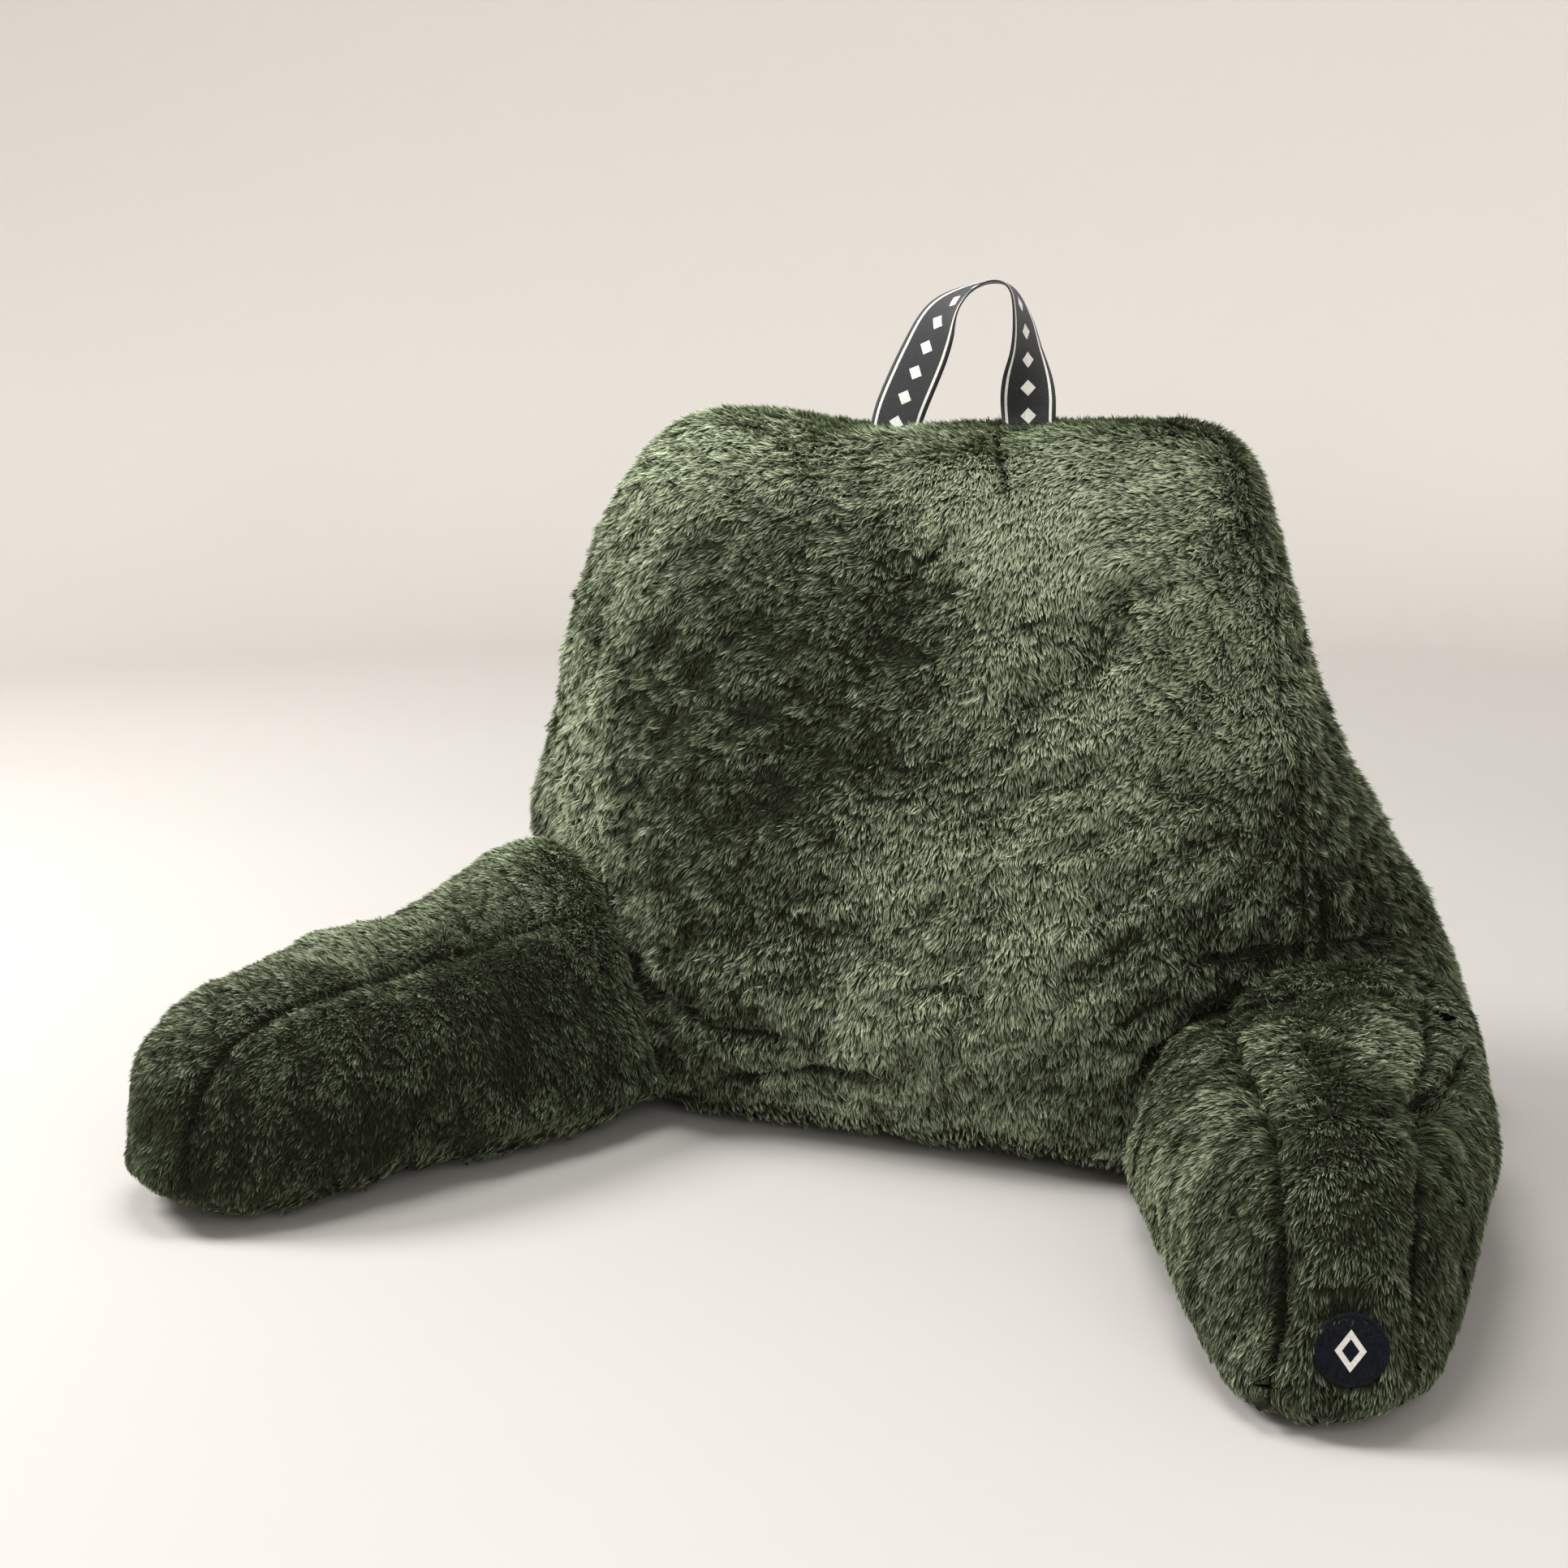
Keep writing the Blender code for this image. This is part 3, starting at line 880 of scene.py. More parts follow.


# ---- The pile ----

# How the pile lies at places of the photograph: the way it points, in degrees clockwise from the
# right of the picture, how far that reaches, in pixels, how flat it lies, from 0 to 1, and how pale
# it is painted, partly the frosted side it shows and partly painted light and shade for how
# brightly the place is lit, where 1 is all of the frosted side and more makes up for what the
# places round it take away.
COMB_COLUMNS = ("x", "y", "turn", "reach", "flat", "pale")
COMB_ROWS = (
    (1230, 590, 92, 90, 0.95, 0.72),
    (1250, 680, 96, 90, 0.90, 0.60),
    (1060, 570, 110, 100, 0.80, 0.78),
    (900, 560, 120, 100, 0.70, 1.10),
    (790, 620, 120, 90, 0.65, 1.15),
    (740, 700, 112, 70, 0.60, 0.62),
    (880, 700, 122, 90, 0.45, 0.27),
    (1030, 720, 124, 100, 0.50, 0.42),
    (1000, 860, 118, 130, 0.30, 0.12),
    (860, 860, 116, 80, 0.35, 0.16),
    (840, 990, 112, 80, 0.35, 0.24),
    (1110, 800, 128, 80, 0.45, 0.45),
    (1150, 930, 112, 70, 0.50, 0.45),
    (1230, 880, 92, 60, 0.75, 0.75),
    (1310, 880, 64, 80, 0.60, 1.05),
    (1420, 640, 150, 90, 0.80, 0.74),
    (1490, 740, 160, 80, 0.60, 1.32),
    (1450, 870, 152, 90, 0.50, 1.14),
    (1550, 840, 100, 60, 0.55, 1.25),
    (1570, 740, 110, 50, 0.60, 1.20),
    (1420, 1010, 130, 90, 0.50, 0.96),
    (1520, 1090, 120, 80, 0.50, 0.70),
    (1260, 1060, 84, 90, 0.55, 1.00),
    (1110, 1060, 100, 90, 0.45, 0.80),
    (980, 1060, 108, 80, 0.40, 0.22),
    (1080, 1190, 92, 110, 0.55, 1.00),
    (1290, 1200, 70, 80, 0.55, 0.95),
    (1430, 1190, 80, 60, 0.50, 0.24),
    (920, 1180, 98, 90, 0.45, 0.36),
    (1020, 1360, 88, 100, 0.55, 0.98),
    (820, 1290, 96, 70, 0.50, 0.30),
    (1250, 1380, 86, 100, 0.55, 0.84),
    (700, 860, 100, 60, 0.65, 1.12),
    (710, 1010, 104, 60, 0.55, 1.08),
    (750, 1100, 104, 60, 0.50, 0.90),
    (1650, 960, 80, 80, 0.45, 0.48),
    (1700, 1120, 84, 80, 0.45, 0.28),
    (1460, 1430, 100, 80, 0.70, 0.46),
    (1640, 1270, 84, 80, 0.60, 0.56),
    (1500, 1580, 92, 110, 0.70, 0.22),
    (1650, 1560, 94, 90, 0.62, 0.28),
    (1800, 1460, 86, 100, 0.62, 0.08),
    (400, 1180, 150, 110, 0.72, 0.52),
    (580, 1110, 155, 90, 0.65, 0.48),
    (240, 1270, 130, 80, 0.60, 0.46),
    (200, 1420, 104, 90, 0.60, 0.03),
    (500, 1320, 124, 130, 0.60, 0.10),
    (660, 1240, 110, 80, 0.45, 0.00),
)

# The weight, the flatness and the paleness of the resting lie, where no place of the comb reaches
COMB_REST = 0.12
RESTING_LOOK = (0.74, 0.46)
RESTING_LIE = np.array((0.0, -0.25, -1.0))
ARM_LIE = 0.70


class Comb:
    """Which way the pile lies at any place on the pillow, how flat and how pale, where the paleness
    holds painted light and shade.
    """

    def __init__(self, trees):
        self.strokes = []
        for stroke in table(COMB_COLUMNS, COMB_ROWS):
            ray = ray_through(stroke["x"], stroke["y"])
            hits = [tree.ray_cast(Vector(CAMERA_PLACE), ray) for tree in trees]
            hits = [hit for hit in hits if hit[0] is not None]
            if hits:
                place = min(hits, key=lambda hit: hit[3])[0]
                turn = math.radians(stroke["turn"])
                way = RIGHT * math.cos(turn) - UP * math.sin(turn)
                look = np.array((stroke["flat"], stroke["pale"]))
                self.strokes.append((np.array(place), stroke["reach"] * PIXEL, np.array(way), look))

    def at(self, places, normals, resting):
        """The unit direction along the surface, the flatness and the paleness, with its painted
        light and shade, at each place.
        """
        way = np.broadcast_to(resting * COMB_REST, places.shape).copy()
        look = np.broadcast_to(np.array(RESTING_LOOK) * COMB_REST, (len(places), 2)).copy()
        weights = np.full(len(places), COMB_REST)
        for place, reach, turn, stroke in self.strokes:
            weight = bell(away_from(places, place), reach)
            way += weight[:, None] * turn
            look += weight[:, None] * stroke
            weights += weight
        look /= weights[:, None]
        return unit(along_face(way, normals)), look[:, 0], look[:, 1]


def turned(vectors, axes, angles):
    """Each unit vector turned about its own axis, which stands square to it."""
    return vectors * np.cos(angles)[:, None] + np.cross(axes, vectors) * np.sin(angles)[:, None]


def pile_density(centres, facing):
    """Blades to the square metre: most where the front shows them, none on the flat underside."""
    shown = ramped(facing @ np.array(BACK), *DENSE_FACING)
    density = FEWEST_BLADES + (MOST_BLADES - FEWEST_BLADES) * shown
    density = np.where(facing[:, 2] < UNDER_FACING, FEWEST_BLADES * UNDER_SHARE, density)
    return np.where((centres[:, 2] < SOLE_HEIGHT) & (facing[:, 2] < SOLE_FACING), 0, density)


def sown(mesh, sunk, random):
    """Random places on a skin, their normals, how sunk the skin is there, how wide blades are and
    the skin's area."""
    mesh.calc_loop_triangles()
    places, normals = places_of(mesh), normals_of(mesh)
    faces = numbers(mesh.loop_triangles, "vertices", 3, np.int32)
    corners = places[faces]
    edges = corners[:, 1:] - corners[:, :1]
    area = np.linalg.norm(np.cross(edges[:, 0], edges[:, 1]), axis=1) / 2
    wanted = area * pile_density(corners.mean(1), unit(normals[faces].mean(1)))
    count = np.floor(wanted + random.random(len(wanted))).astype(int)
    chosen = np.repeat(np.arange(len(faces)), count)
    a, b = random.random(len(chosen)), random.random(len(chosen))
    over = a + b > 1
    a[over], b[over] = 1 - a[over], 1 - b[over]
    shares = np.stack([1 - a - b, a, b], 1)
    at = (corners[chosen] * shares[:, :, None]).sum(1)
    lean = unit((normals[faces[chosen]] * shares[:, :, None]).sum(1))
    depth = (sunk[faces[chosen]] * shares).sum(1)
    wide = np.sqrt(MOST_BLADES * area[chosen] / np.maximum(wanted[chosen], 1e-9)) ** WIDER
    return at, lean, depth, wide, area.sum()


def cells_of(roots, lie, area, spacing, stretch, random):
    """Which cell each root lies in, the blade in the cell's middle, how near the cell's edge the
    root is, from 0 to 1, and how far along the cell, from about -0.6 to 0.6. The cells are
    stretched the way the pile lies."""
    count = min(int(area / spacing**2), len(roots))
    middles = random.choice(len(roots), count, replace=False)
    tree = tree_at(roots[middles])
    near = np.array([[hit[1] for hit in tree.find_n(root, CELLS_NEAR)] for root in roots])
    offset = roots[middles[near]] - roots[:, None]
    along = (offset * lie[:, None]).sum(2)
    away = np.sqrt(np.maximum((offset**2).sum(2) - (1 - stretch**-2) * along**2, 0))
    order = np.argsort(away, axis=1)
    first = order[:, 0]
    rows = np.arange(len(roots))
    margin = away[rows, order[:, 1]] - away[rows, first]
    cell = near[rows, first]
    edge = 1 - smooth(margin / (EDGE_SHARE * spacing))
    return cell, middles[cell], edge, -along[rows, first] / spacing


def varied(count, random):
    """Shares of 1, by chance up to VARIES more or less."""
    return (1 - VARIES + 2 * VARIES * random.random(count))[:, None]


def drawn_together(tips, leaders, random):
    """Moves each tip part of the way to its leader's."""
    return tips + (tips[leaders] - tips) * TIP_PULL * varied(len(tips), random)


def cracks(places, size, seed):
    """Thin wandering lines, 1 on them and 0 away from them, that come and go."""
    line = 1 - smooth(np.abs(lattice_noise(places, size, seed)) / CRACK_WIDTH)
    return line * smooth(0.5 + waves(places, (1.2, CRACK_BREAKS * size), seed + 1))


def draped(places, axis):
    """The places, drawn together along the wrinkles' run: across an arm, and sideways on the back,
    rising to the right of its middle."""
    if axis.any():
        along = unit(axis)
        return places * WRINKLE_STRETCH + np.outer(places @ along, along) * (1 - WRINKLE_STRETCH)
    x, y, z = places.T
    return np.stack([x * WRINKLE_STRETCH, y, z - WRINKLE_SLOPE * np.maximum(x - 0.02, 0)], 1)


def crinkle(places, axis):
    """The height of the pile's crushed face against the uncrushed one, in metres."""
    places = draped(places, axis)
    height = np.full(len(places), -CRUSH_DEPTH)
    for size, depth, seed in RIPPLES:
        height += waves(places, (depth, size), seed)
    for size, depth, seed in CRACKS:
        height -= depth * cracks(places, size, seed)
    return height


def gathered(places):
    """How much deeper the wrinkles are at each place."""
    gain = np.ones(len(places))
    for gather in table(GATHER_COLUMNS, GATHERS):
        gain += gather["gain"] * bell(away_from(places, gather["place"]), gather["reach"])
    return gain


def crinkled(places, normals, rough, axis):
    """How far each place is sunk by the crinkles, and the way its normal leans there."""
    first = unit(np.cross(normals, ASKEW))
    height = crinkle(places, axis)
    lean = np.zeros_like(places)
    for way in (first, np.cross(normals, first)):
        slope = (crinkle(places + way * SLOPE_STEP, axis) - height) / SLOPE_STEP
        lean -= way * (slope * rough)[:, None]
    return height * rough, lean


def in_folds(places, normals, folds):
    """The same for the sharp bottoms of seams and creases, with how deep in one each place is and
    which way the pile is parted there."""
    height, depth = np.zeros(len(places)), np.zeros(len(places))
    lean, parted = np.zeros_like(places), np.zeros_like(places)
    probes = places + np.stack([waves(places, FOLD_WANDER, 41 + axis) for axis in range(3)], 1)
    for line, rises, taper in folds:
        line = along_line(line, FOLD_STEP)
        near = close_to(probes, line, FOLD_SEEK)
        apart, share, nearest = distance_to(probes[near], line)
        strength = np.clip(between(rises, share) / -FOLD_FULL, 0, 1) * tapered(share, taper)
        towards = along_face(line[nearest] - probes[near], normals[near])
        away = np.linalg.norm(towards, axis=1)
        strength *= smooth((FOLD_SEEK - apart) / FOLD_BLEND)
        parted[near] -= unit(towards) * (strength * bell(away, PART_REACH))[:, None]
        strength *= bell(away, FOLD_WIDTH)
        height[near] -= FOLD_DEPTH * strength
        lean[near] += towards * (2 * FOLD_DEPTH * strength / FOLD_WIDTH**2)[:, None]
        depth[near] = np.maximum(depth[near], strength)
    return height, lean, depth, parted


def rises_of(roots, normals, flat, lift, step, calm, random):
    """How steeply each blade stands."""
    rise = RISE + UPRIGHT_RISE * (1 - flat) + LOCK_RISE * lift + STEP_RISE * step
    rise += BLADE_RISE * calm * random.standard_normal(len(roots)) - CALM_FALL * (1 - calm)
    rise = np.clip(rise, *RISE_LIMITS) * (1 - FOOT_FALL * near_foot(roots))
    return (rise * (1 - UNDER_FALL * ramped(-normals[:, 2], *UNDERSIDE)))[:, None]


def lengths_of(roots, flat, full, shorter, random):
    """How long each blade is: shorter holds each place's shares of what shortens it."""
    length = 1 + waves(roots, PATCHY_LENGTH, 24) + BLADE_LENGTH * random.standard_normal(len(roots))
    length = full * np.clip(length, *LENGTH_LIMITS) * (UPRIGHT_LENGTH + FLAT_LENGTH * flat)
    depth, fold, crack, gap = shorter
    length *= 1 - FOOT_SHORTER * near_foot(roots)
    length *= 1 - SUNK_SHORTER * depth - FOLD_SHORTER * fold
    return (length * (1 - CRACK_SHORTER * crack) * (1 - GAP_SHORTER * gap))[:, None]


def tones_of(roots, pale, lock, tuft, crushed, calm, darker, random):
    """How pale each blade is painted, partly its frosted look and partly painted light from the
    comb:
    the shares of what darkens it are painted shade, in sunk places, folds, cracks and the pile's
    gaps.
    """
    tone = TONE + PALE_TONE * pale + waves(roots, PATCHY_TONE, 25) + LOCK_TONE * lock
    tone += TUFT_TONE * random.standard_normal(tuft.max() + 1)[tuft] * crushed
    chance = BLADE_TONE * calm * (FLAT_CHANCE + (1 - FLAT_CHANCE) * crushed)
    tone += chance * random.standard_normal(len(roots))
    depth, fold, crack, gap = darker
    # Painted shade: sunk places, folds, cracks and the pile's gaps take tone away where shade
    # falls.
    tone -= SUNK_SHADE * depth + FOLD_SHADE * fold + CRACK_SHADE * crack + gap
    return np.clip(tone, 0, 0.999)


def pile_on(skin, axis, comb, random):
    """Every blade on a skin: its root, tip, direction across, normals, tone, width and how much its
    own face shows in its shading."""
    roots, normals, depth, wide, area = sown(skin.data, SUNK[skin.name], random)
    count = len(roots)
    full, calm = (PILE_LENGTH * ARM_PILE, ARM_CALM) if axis.any() else (PILE_LENGTH, 1.0)
    lie, flat, pale = comb.at(roots, normals, RESTING_LIE + ARM_LIE * axis)
    crushed = 1 - FLAT_CALM * ramped(flat, *CALM_FLATNESS)
    rough = crushed * calm
    lie = turned(lie, normals, waves(roots, COMB_WANDER, 21))
    drop, bend, fold, parted = in_folds(roots, normals, FOLDS[skin.name])
    lie = unit(lie + PART_PULL * parted)
    lock, _, rim, step = cells_of(roots, lie, area, LOCK_SPACING, LOCK_STRETCH, random)
    own = random.standard_normal((lock.max() + 1, 6))[lock] * rough[:, None]
    lie = turned(lie, normals, LOCK_TURN * own[:, 0])
    tuft, leader, edge, _ = cells_of(roots, lie, area, TUFT_SPACING, TUFT_STRETCH, random)
    lie = turned(lie, normals, BLADE_TURN * random.standard_normal(count))
    height, lean = crinkled(roots, normals, crushed * gathered(roots), axis)
    step *= (1 + STEP_CHANCE * own[:, 5]) * (STEP_KEPT + (1 - STEP_KEPT) * rough)
    height += LOCK_STEP * (step - STEP_MIDDLE)
    lean -= lie * (LOCK_STEP / LOCK_SPACING)
    # Where the crinkles sink deepest the pile cracks, which shortens its blades and darkens them
    # with painted shade.
    crack = np.clip((-height - CRUSH_DEPTH) / CRACK_FULL, 0, 1)
    faces = unit(normals + np.clip(LEAN_GAIN * lean + bend, -MOST_LEAN, MOST_LEAN))
    lie = unit(along_face(lie, faces))
    # How open the pile is, which shortens its blades and darkens them with painted shade.
    gap = TUFT_GAP * edge * crushed + LOCK_GAP * rim * rough
    gap += STEP_GAP * ramped(-step, *STEP_BELOW)
    shadows = depth, fold, crack, gap
    rise = rises_of(roots, normals, flat, own[:, 1], step, calm, random)
    direction = unit(lie + faces * rise)
    length = lengths_of(roots, flat, full, shadows, random)
    roots = roots + normals * (height + drop)[:, None]
    tips = drawn_together(roots + direction * length, leader, random)
    roots = roots - unit(tips - roots) * ROOT_RUN
    swing = random.standard_normal((tuft.max() + 1, 4))[tuft] * rough[:, None]
    tips += normals * (TUFT_RISE * swing[:, 3:])
    tilt = along_face(TUFT_TILT * swing[:, :3] + LOCK_TILT * own[:, 2:5], faces)
    side = unit(np.cross(direction, normals))
    side = turned(side, direction, FACE_TURN * random.standard_normal(count))
    facing = np.cross(side, tips - roots)
    side *= np.sign((facing * normals).sum(1, keepdims=True) + 1e-9)
    return {
        "root": roots, "tip": tips, "side": side, "normal": normals, "lean": unit(faces + tilt),
        "tone": tones_of(roots, pale, own[:, 5], tuft, crushed, calm, shadows, random),
        "wide": np.minimum(wide, MOST_WIDE),
        "glint": GLINT - FLAT_GLINT * ramped(flat, *GLINT_FLATNESS),
    }


def sink(skin):
    """Lowers a skin to where its blades are rooted."""
    places = places_of(skin.data)
    depth = GROUND_DEPTH + FOLD_GROUND * SUNK[skin.name] + GATHER_GROUND * (gathered(places) - 1)
    set_places(skin.data, above_floor(places - normals_of(skin.data) * depth[:, None]))


def blades(name, skin, pile, pick, random):
    """The picked blades as one mesh of slender triangles, riding on their skin."""
    root, tip, side, lean = [pile[key][pick] for key in ("root", "tip", "side", "lean")]
    count = len(root)
    half = BLADE_WIDTH / 2 * pile["wide"][pick][:, None] * varied(count, random)
    corners = np.stack([root - side * half, tip, root + side * half], 1)[:, ::-1].reshape(-1, 3)
    corners[:, 2] = np.maximum(corners[:, 2], FLOOR_GAP)
    mesh = bpy.data.meshes.new(name)
    mesh.vertices.add(3 * count)
    mesh.vertices.foreach_set("co", corners.astype(np.float32).ravel())
    mesh.loops.add(3 * count)
    mesh.loops.foreach_set("vertex_index", np.arange(3 * count, dtype=np.int32))
    mesh.polygons.add(count)
    mesh.polygons.foreach_set("loop_start", np.arange(0, 3 * count, 3, dtype=np.int32))
    mesh.update(calc_edges=True)
    column = np.floor(pile["tone"][pick] * TONES)[:, None]
    x = (column + np.array(BLADE_MAP_ACROSS)) / TONES
    draw_map(mesh, PILE_MAP, np.stack([x, np.broadcast_to(BLADE_MAP_ALONG, x.shape)], 2))
    face = unit(np.cross(side, tip - root))
    glint = pile["glint"][pick][:, None]
    shown = unit(lean * (1 - glint) + face * glint)
    mesh.shade_smooth()
    mesh.normals_split_custom_set_from_vertices(np.repeat(shown, 3, axis=0).tolist())
    made = object_of(name, mesh, PILE)
    made.parent = skin


# ---- Webbing loop and patch ----

# The carrying loop's middle line: x, z and how far its width is turned from +X, in degrees
LOOP_Y = -0.020
LOOP_ROWS = (
    (-0.051, 0.454, 0),
    (-0.046, 0.473, 2),
    (-0.031, 0.506, 8),
    (-0.018, 0.532, 26),
    (0.000, 0.548, 54),
    (0.018, 0.554, 68),
    (0.031, 0.549, 78),
    (0.038, 0.531, 92),
    (0.041, 0.510, 108),
    (0.042, 0.490, 140),
    (0.043, 0.470, 172),
    (0.044, 0.454, 178),
)
STRAP_WIDTH = 0.036
STRAP_THICKNESS = 0.0016
STRAP_STEPS = 150
STRAP_ACROSS = 16
STRAP_EDGE = (0.75, 12)
EDGE_LINE = (0.0044, 0.0026)
LOZENGE_STEP = 0.018
LOZENGE_HALF = (0.0052, 0.0052)
# The badge from its middle outwards, as shares of its radius and heights over its face
BADGE_PROFILE = (
    (0.000, 0.0000), (0.30, 0.0000), (0.60, -0.0001), (0.82, -0.0002), (0.86, -0.0002),
    (0.88, 0.0001), (0.91, 0.0003), (0.94, 0.0003), (0.97, 0.0000), (0.99, -0.0006),
    (0.985, -0.0014), (0.96, -0.0020), (0.50, -0.0020), (0.0, -0.0020),
)
BADGE_STEPS = 120
BADGE_RIM = (0.88, 0.97)
BADGE_STITCHES = 60
STITCH_RISE = 0.00018
BADGE_LOZENGE = (0.0075, 0.0105)
BADGE_OUTLINE = (0.55, 1.0)


def curve_through(rows, at):
    """A smooth curve through rows of numbers, at fractional indexes."""
    rows = np.array(rows, float)
    low = np.clip(np.floor(at).astype(int), 0, len(rows) - 2)
    share = (at - low)[:, None]
    p0, p1, p2, p3 = [rows[np.clip(low + i, 0, len(rows) - 1)] for i in (-1, 0, 1, 2)]
    bend = 2 * p0 - 5 * p1 + 4 * p2 - p3
    return p1 + 0.5 * share * (p2 - p0 + share * (bend + share * (3 * (p1 - p2) + p3 - p0)))


def woven(made, warp, weft, fuzz, mark, raised, dark, light, depth):
    """The look of woven threads: dark apart from the mark, which is raised over the rest. The warp
    and the weft are each a place across their threads and the threads' pitch."""
    weave = made.times(made.plus(made.wave(*warp), made.wave(*weft)), 0.5)
    level = made.plus(made.times(weave, 0.25), made.noise(made.here(), fuzz))
    black, pale = [made.ramp(level, zip((0.25, 0.85), pair)) for pair in (dark, light)]
    made.feed(made.shader.inputs["Base Color"], made.mix(mark, black, pale))
    made.bump(made.plus(weave, made.times(mark, raised)), depth)


def webbing_material():
    """Black twill webbing with a white line inside each edge and a row of plain white lozenges."""
    made = Nodes("webbing_weave")
    across, along = made.map_of("webbing")
    away = made.math("ABSOLUTE", made.math("SUBTRACT", across, STRAP_WIDTH / 2))
    line = made.between(away, *(STRAP_WIDTH / 2 - inset for inset in EDGE_LINE))
    step = made.math("SUBTRACT", made.math("MODULO", along, LOZENGE_STEP), LOZENGE_STEP / 2)
    lozenge = made.math("LESS_THAN", made.lozenge(away, step, LOZENGE_HALF), 1.0)
    white = made.math("MAXIMUM", line, lozenge)
    twill = made.plus(made.times(across, 0.5), along)
    woven(
        made, warp=(across, 0.0009), weft=(twill, 0.0011), fuzz=700.0, mark=white, raised=0.8,
        dark=((0.0045, 0.0050, 0.0065), (0.020, 0.021, 0.025)),
        light=((0.60, 0.59, 0.56), (0.84, 0.83, 0.80)), depth=0.00018,
    )
    made.set(Roughness=0.62, Sheen_Weight=0.12, Sheen_Roughness=0.4, Specular_IOR_Level=0.35)
    return made.material


def strap_line():
    """Points along the loop's middle line, their length along it and the direction across."""
    at = np.linspace(0, len(LOOP_ROWS) - 1, STRAP_STEPS + 1)
    rows = curve_through(LOOP_ROWS, at)
    line = np.stack([rows[:, 0], np.full(len(at), LOOP_Y), rows[:, 1]], 1)
    along = unit(np.gradient(line, axis=0))
    turn = np.radians(rows[:, 2])
    across = np.stack([np.cos(turn), -np.sin(turn), np.zeros(len(at))], 1)
    across = unit(across - along * (along * across).sum(1, keepdims=True))
    walked = np.concatenate([[0], np.cumsum(np.linalg.norm(np.diff(line, axis=0), axis=1))])
    return line, walked, across, along


def strap():
    """The carrying loop: a woven ribbon whose edges are thinner than its middle."""
    line, walked, across, along = strap_line()
    normal = unit(np.cross(across, along))
    thinner, power = STRAP_EDGE
    shares = np.linspace(-1, 1, STRAP_ACROSS + 1)
    levels = STRAP_THICKNESS / 2 * (1 - thinner * np.abs(shares) ** power)
    shares, levels = np.append(shares, shares[::-1]), np.append(levels, -levels[::-1])
    places = line[:, None] + across[:, None] * shares[:, None] * STRAP_WIDTH / 2
    places = (places + normal[:, None] * levels[:, None]).reshape(-1, 3)
    size, last = len(shares), (len(line) - 1) * len(shares)
    faces, drawn = [], []
    for i in range(len(line) - 1):
        for j in range(size):
            k = (j + 1) % size
            faces.append((i * size + j, i * size + k, (i + 1) * size + k, (i + 1) * size + j))
            x0, x1 = [(shares[m] + 1) / 2 * STRAP_WIDTH for m in (j, k)]
            y0, y1 = walked[i], walked[i + 1]
            drawn += [(x0, y0), (x1, y0), (x1, y1), (x0, y1)]
    for cap in (range(size), range(last + size - 1, last - 1, -1)):
        faces.append(tuple(cap))
        drawn += [(0.001, walked[0])] * size
    mesh = bpy.data.meshes.new("strap")
    mesh.from_pydata(places.tolist(), [], faces)
    draw_map(mesh, "webbing", np.array(drawn))
    mesh.shade_smooth()
    made = object_of("strap", mesh, webbing_material())
    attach(made, "root")
    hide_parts("carrying_loop")


def badge_material():
    """A dark woven badge with a plain lozenge's outline."""
    made = Nodes("badge_weave")
    x, y = made.map_of("badge")
    outline = made.between(made.lozenge(x, y, BADGE_LOZENGE), *BADGE_OUTLINE)
    woven(
        made, warp=(x, 0.0007), weft=(made.plus(y, x), 0.0008), fuzz=600.0, mark=outline,
        raised=1.5,
        dark=((0.0035, 0.0042, 0.0065), (0.014, 0.016, 0.022)),
        light=((0.62, 0.61, 0.58), (0.85, 0.84, 0.81)), depth=0.00015,
    )
    made.set(Roughness=0.75, Sheen_Weight=0.01, Sheen_Roughness=0.4, Specular_IOR_Level=0.06)
    return made.material


def badge():
    """The round patch: a thin domed disc with a rolled rim of stitches, over its CAD node. It gives
    its middle, the way it faces and its radius."""
    places = places_of(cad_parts["patch"].data)
    middle = places.mean(0)
    _, _, axes = np.linalg.svd(places - middle, full_matrices=False)
    out = axes[2] * np.sign(axes[2] @ np.array(BACK))
    middle = middle + out * ((places @ out).max() - middle @ out)
    upward = unit(np.array((0.0, 0.0, 1.0)) - out * out[2])
    right = np.cross(upward, out)
    radius = np.linalg.norm(places - middle - np.outer((places - middle) @ out, out), axis=1).max()

    def place(share, level, turn):
        if BADGE_RIM[0] <= share <= BADGE_RIM[1]:
            level = level + STITCH_RISE * math.cos(turn * BADGE_STITCHES)
        reach = (right * math.cos(turn) + upward * math.sin(turn)) * share * radius
        return middle + reach + out * level

    mesh = lathed("badge", BADGE_PROFILE, BADGE_STEPS, place)
    offsets = places_of(mesh)[numbers(mesh.loops, "vertex_index", 1, np.int32)] - middle
    draw_map(mesh, "badge", offsets @ np.stack([right, upward], 1))
    made = object_of("badge", mesh, badge_material())
    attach(made, "root")
    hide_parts("patch")
    return middle, out, radius


# ---- Stage ----

STAGE_REACH = 2.6
STAGE_BEND = 1.0
STAGE_HEIGHT = 4.0
STAGE_STEPS = 96
SKY_STRENGTH = 0.68
LIGHT_TARGET = (0.0, -0.1, 0.2)
LIGHT_COLOUR = (1.0, 0.99, 0.975)
# Each light's name, place, size, power and colour
LIGHTS = (
    ("key", (-1.9, -0.75, 1.8), 1.0, 102.0, LIGHT_COLOUR),
    ("top", (-0.2, -0.2, 2.4), 1.2, 46.0, LIGHT_COLOUR),
    ("fill", (1.6, -2.0, 1.3), 1.6, 28.0, (1.0, 0.985, 0.96)),
)


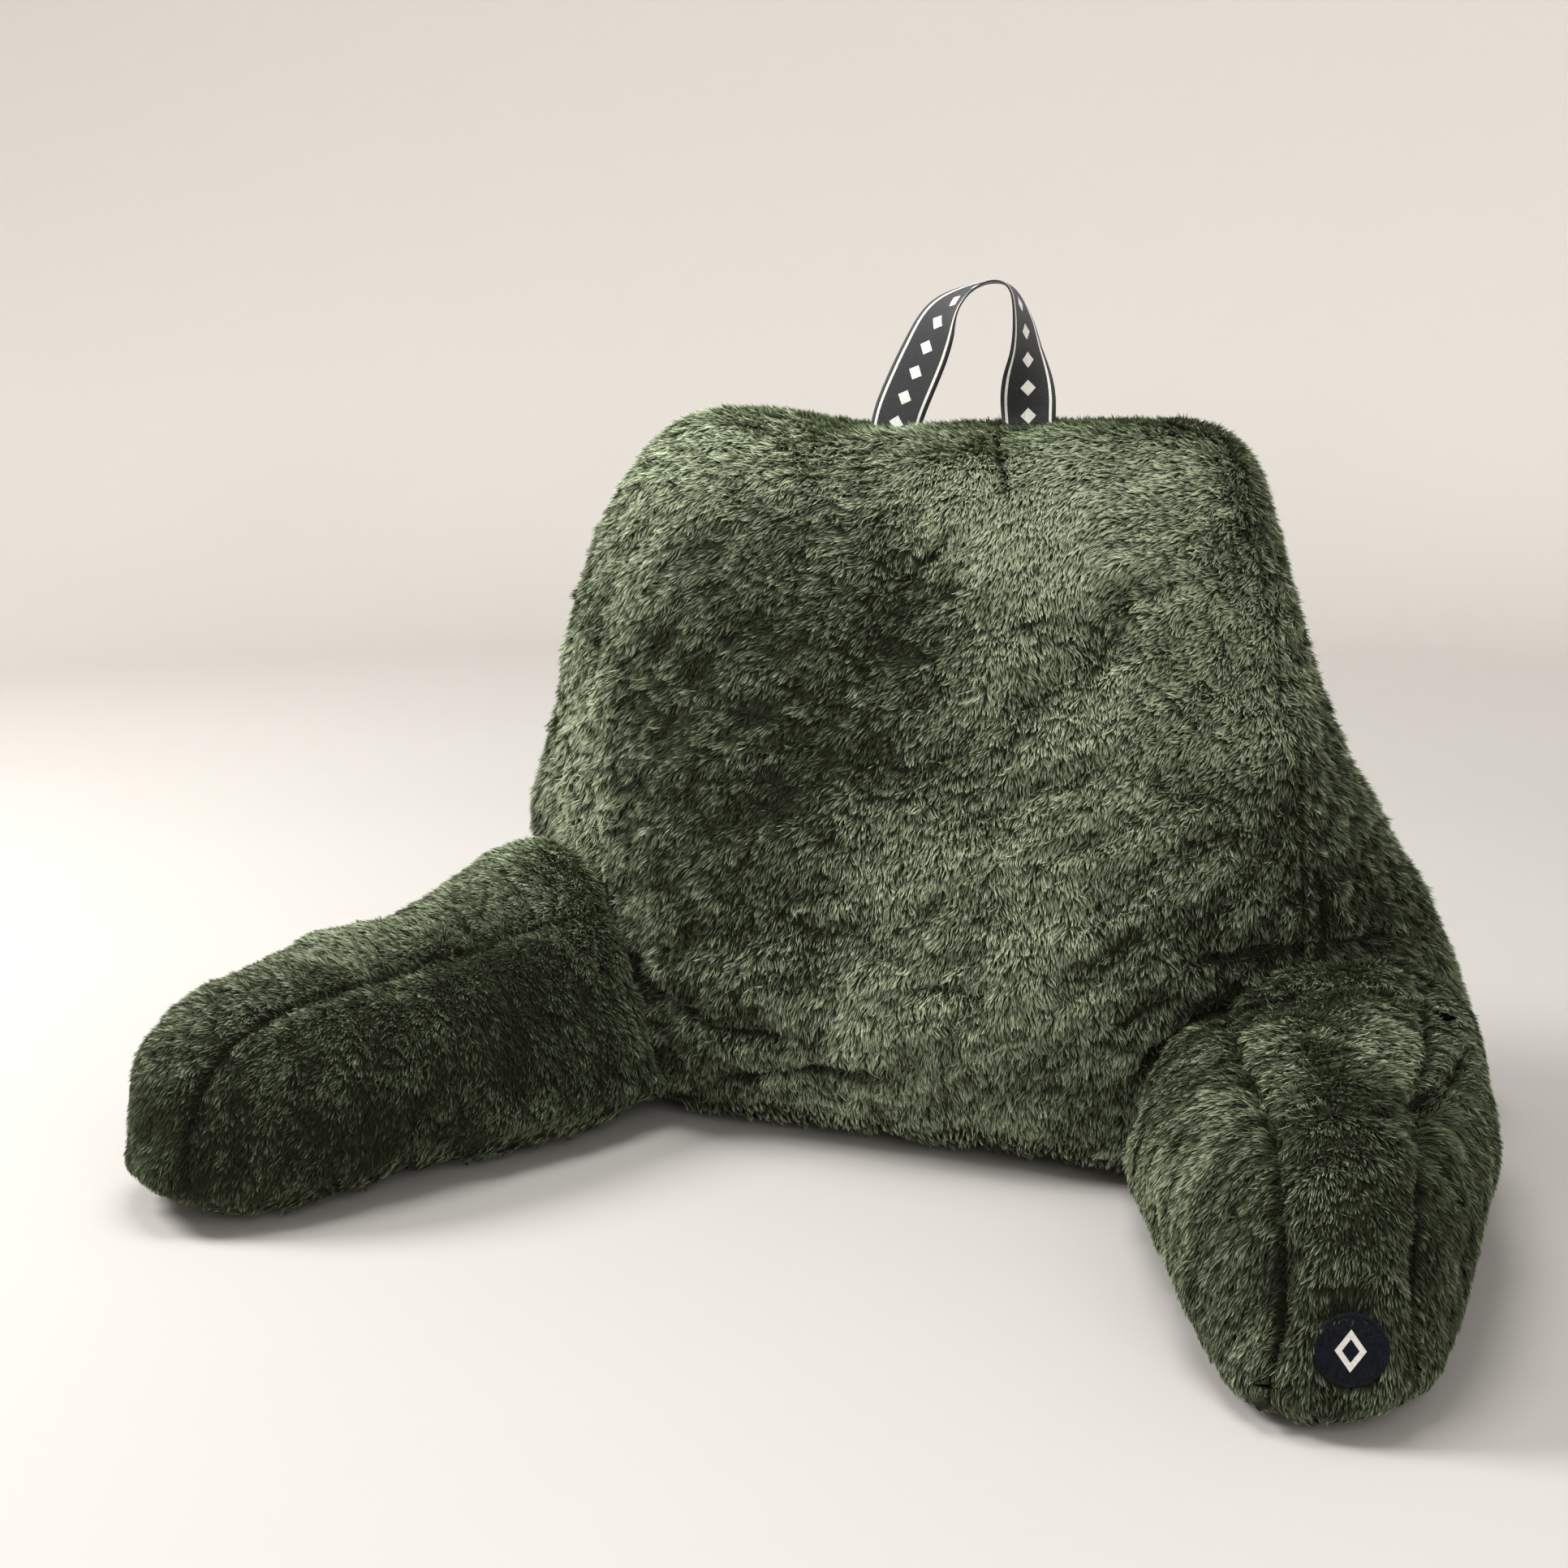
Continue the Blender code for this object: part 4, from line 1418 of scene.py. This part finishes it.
def floor_material():
    """Pale plaster, painted a little darker round the middle, where the lights fall strongest, and
    paler out on the backdrop, far from them, and faintly mottled.
    """
    made = Nodes("stage_floor")
    far = made.add("ShaderNodeVectorMath", operation="LENGTH")
    made.feed(far.inputs[0], made.here())
    mottle = made.times(made.noise(made.here(), 1.5, 4.0), 0.08)
    made.feed(made.shader.inputs["Base Color"], made.ramp(
        made.plus(made.times(far.outputs["Value"], 0.25), mottle),
        ((0.10, (0.34, 0.328, 0.312)), (0.35, (0.42, 0.406, 0.385)), (0.90, (0.70, 0.675, 0.645))),
    ))
    made.set(Roughness=0.8, Specular_IOR_Level=0.2)
    return made.material


def stage():
    """A pale floor that curves up into a backdrop all round."""
    turns = [math.radians(degrees) for degrees in range(10, 91, 10)]
    profile = [(0.0, 0.0), (STAGE_REACH, 0.0)]
    profile += [
        (STAGE_REACH + STAGE_BEND * math.sin(turn), STAGE_BEND * (1 - math.cos(turn)))
        for turn in turns
    ]
    profile.append((STAGE_REACH + STAGE_BEND, STAGE_HEIGHT))
    mesh = lathed("floor", profile, STAGE_STEPS, lambda reach, height, turn: (
        reach * math.cos(turn), reach * math.sin(turn), height
    ))
    object_of("floor", mesh, floor_material())


def area_light(name, place, size, power, colour):
    light = bpy.data.lights.new(name, "AREA")
    light.shape = "DISK"
    light.size = size
    light.energy = power
    light.color = colour
    made = link(bpy.data.objects.new(name, light))
    made.location = place
    towards = Vector(LIGHT_TARGET) - Vector(place)
    made.rotation_euler = towards.to_track_quat("-Z", "Y").to_euler()


def lights():
    """Three soft lights and a pale sky, shown without a film look."""
    world = bpy.data.worlds.new("studio")
    world.use_nodes = True
    sky = world.node_tree.nodes["Background"].inputs
    sky["Color"].default_value = (*LIGHT_COLOUR, 1.0)
    sky["Strength"].default_value = SKY_STRENGTH
    bpy.context.scene.world = world
    for light in LIGHTS:
        area_light(*light)
    view = bpy.context.scene.view_settings
    view.view_transform = "Standard"
    view.look = "None"


def camera():
    data = bpy.data.cameras.new("camera")
    data.sensor_width = data.sensor_height = SENSOR
    data.lens = FOCAL_PIXELS / PHOTO_PIXELS * SENSOR
    made = link(bpy.data.objects.new("camera", data))
    axes = Matrix((RIGHT, UP, BACK)).transposed()
    made.matrix_world = Matrix.Translation(CAMERA_PLACE) @ axes.to_4x4()
    bpy.context.scene.camera = made


# ---- The pillow ----

PILE = pile_material()
SKIN = skin_material()


def main():
    camera()
    stage()
    lights()
    patch_middle, patch_out, patch_radius = badge()
    still = np.zeros(3)
    skins = {"back": (skin_of("back_cushion", "back_skin", back_seams(), still), still)}
    for arm in table(ARM_COLUMNS, ARM_ROWS):
        axis = unit(np.array((
            arm["side"] * (arm["tip_x"] - arm["root_x"]), arm["tip_y"] - arm["root_y"], 0.0
        )))
        name = arm["name"]
        skin = skin_of(name, name + "_skin", arm_seams(arm), axis, "back_cushion")
        skins[name] = (skin, axis)
    cleared(skins["arm_right"][0].data, patch_middle, patch_out, patch_radius)
    comb = Comb([tree_of(skin.data) for skin, _ in skins.values()])
    for name, (skin, axis) in skins.items():
        random = np.random.default_rng(SEED + len(name))
        pile = pile_on(skin, axis, comb, random)
        sink(skin)
        reach = away_from(pile["root"], patch_middle)
        fringe = bell(reach - patch_radius, FRINGE_REACH)[:, None] * patch_out * PATCH_FRINGE
        pile["root"], pile["tip"] = pile["root"] + fringe, pile["tip"] + fringe
        order = np.flatnonzero(reach > patch_radius * PATCH_CLEAR)
        turn = np.arctan2(pile["normal"][order, 0], -pile["normal"][order, 1])
        order = order[np.argsort(turn, kind="stable")]
        for i, pick in enumerate(np.array_split(order, math.ceil(len(order) / MOST_IN_PIECE))):
            blades(f"{name}_pile_{i + 1}", skin, pile, pick, random)
    strap()


main()
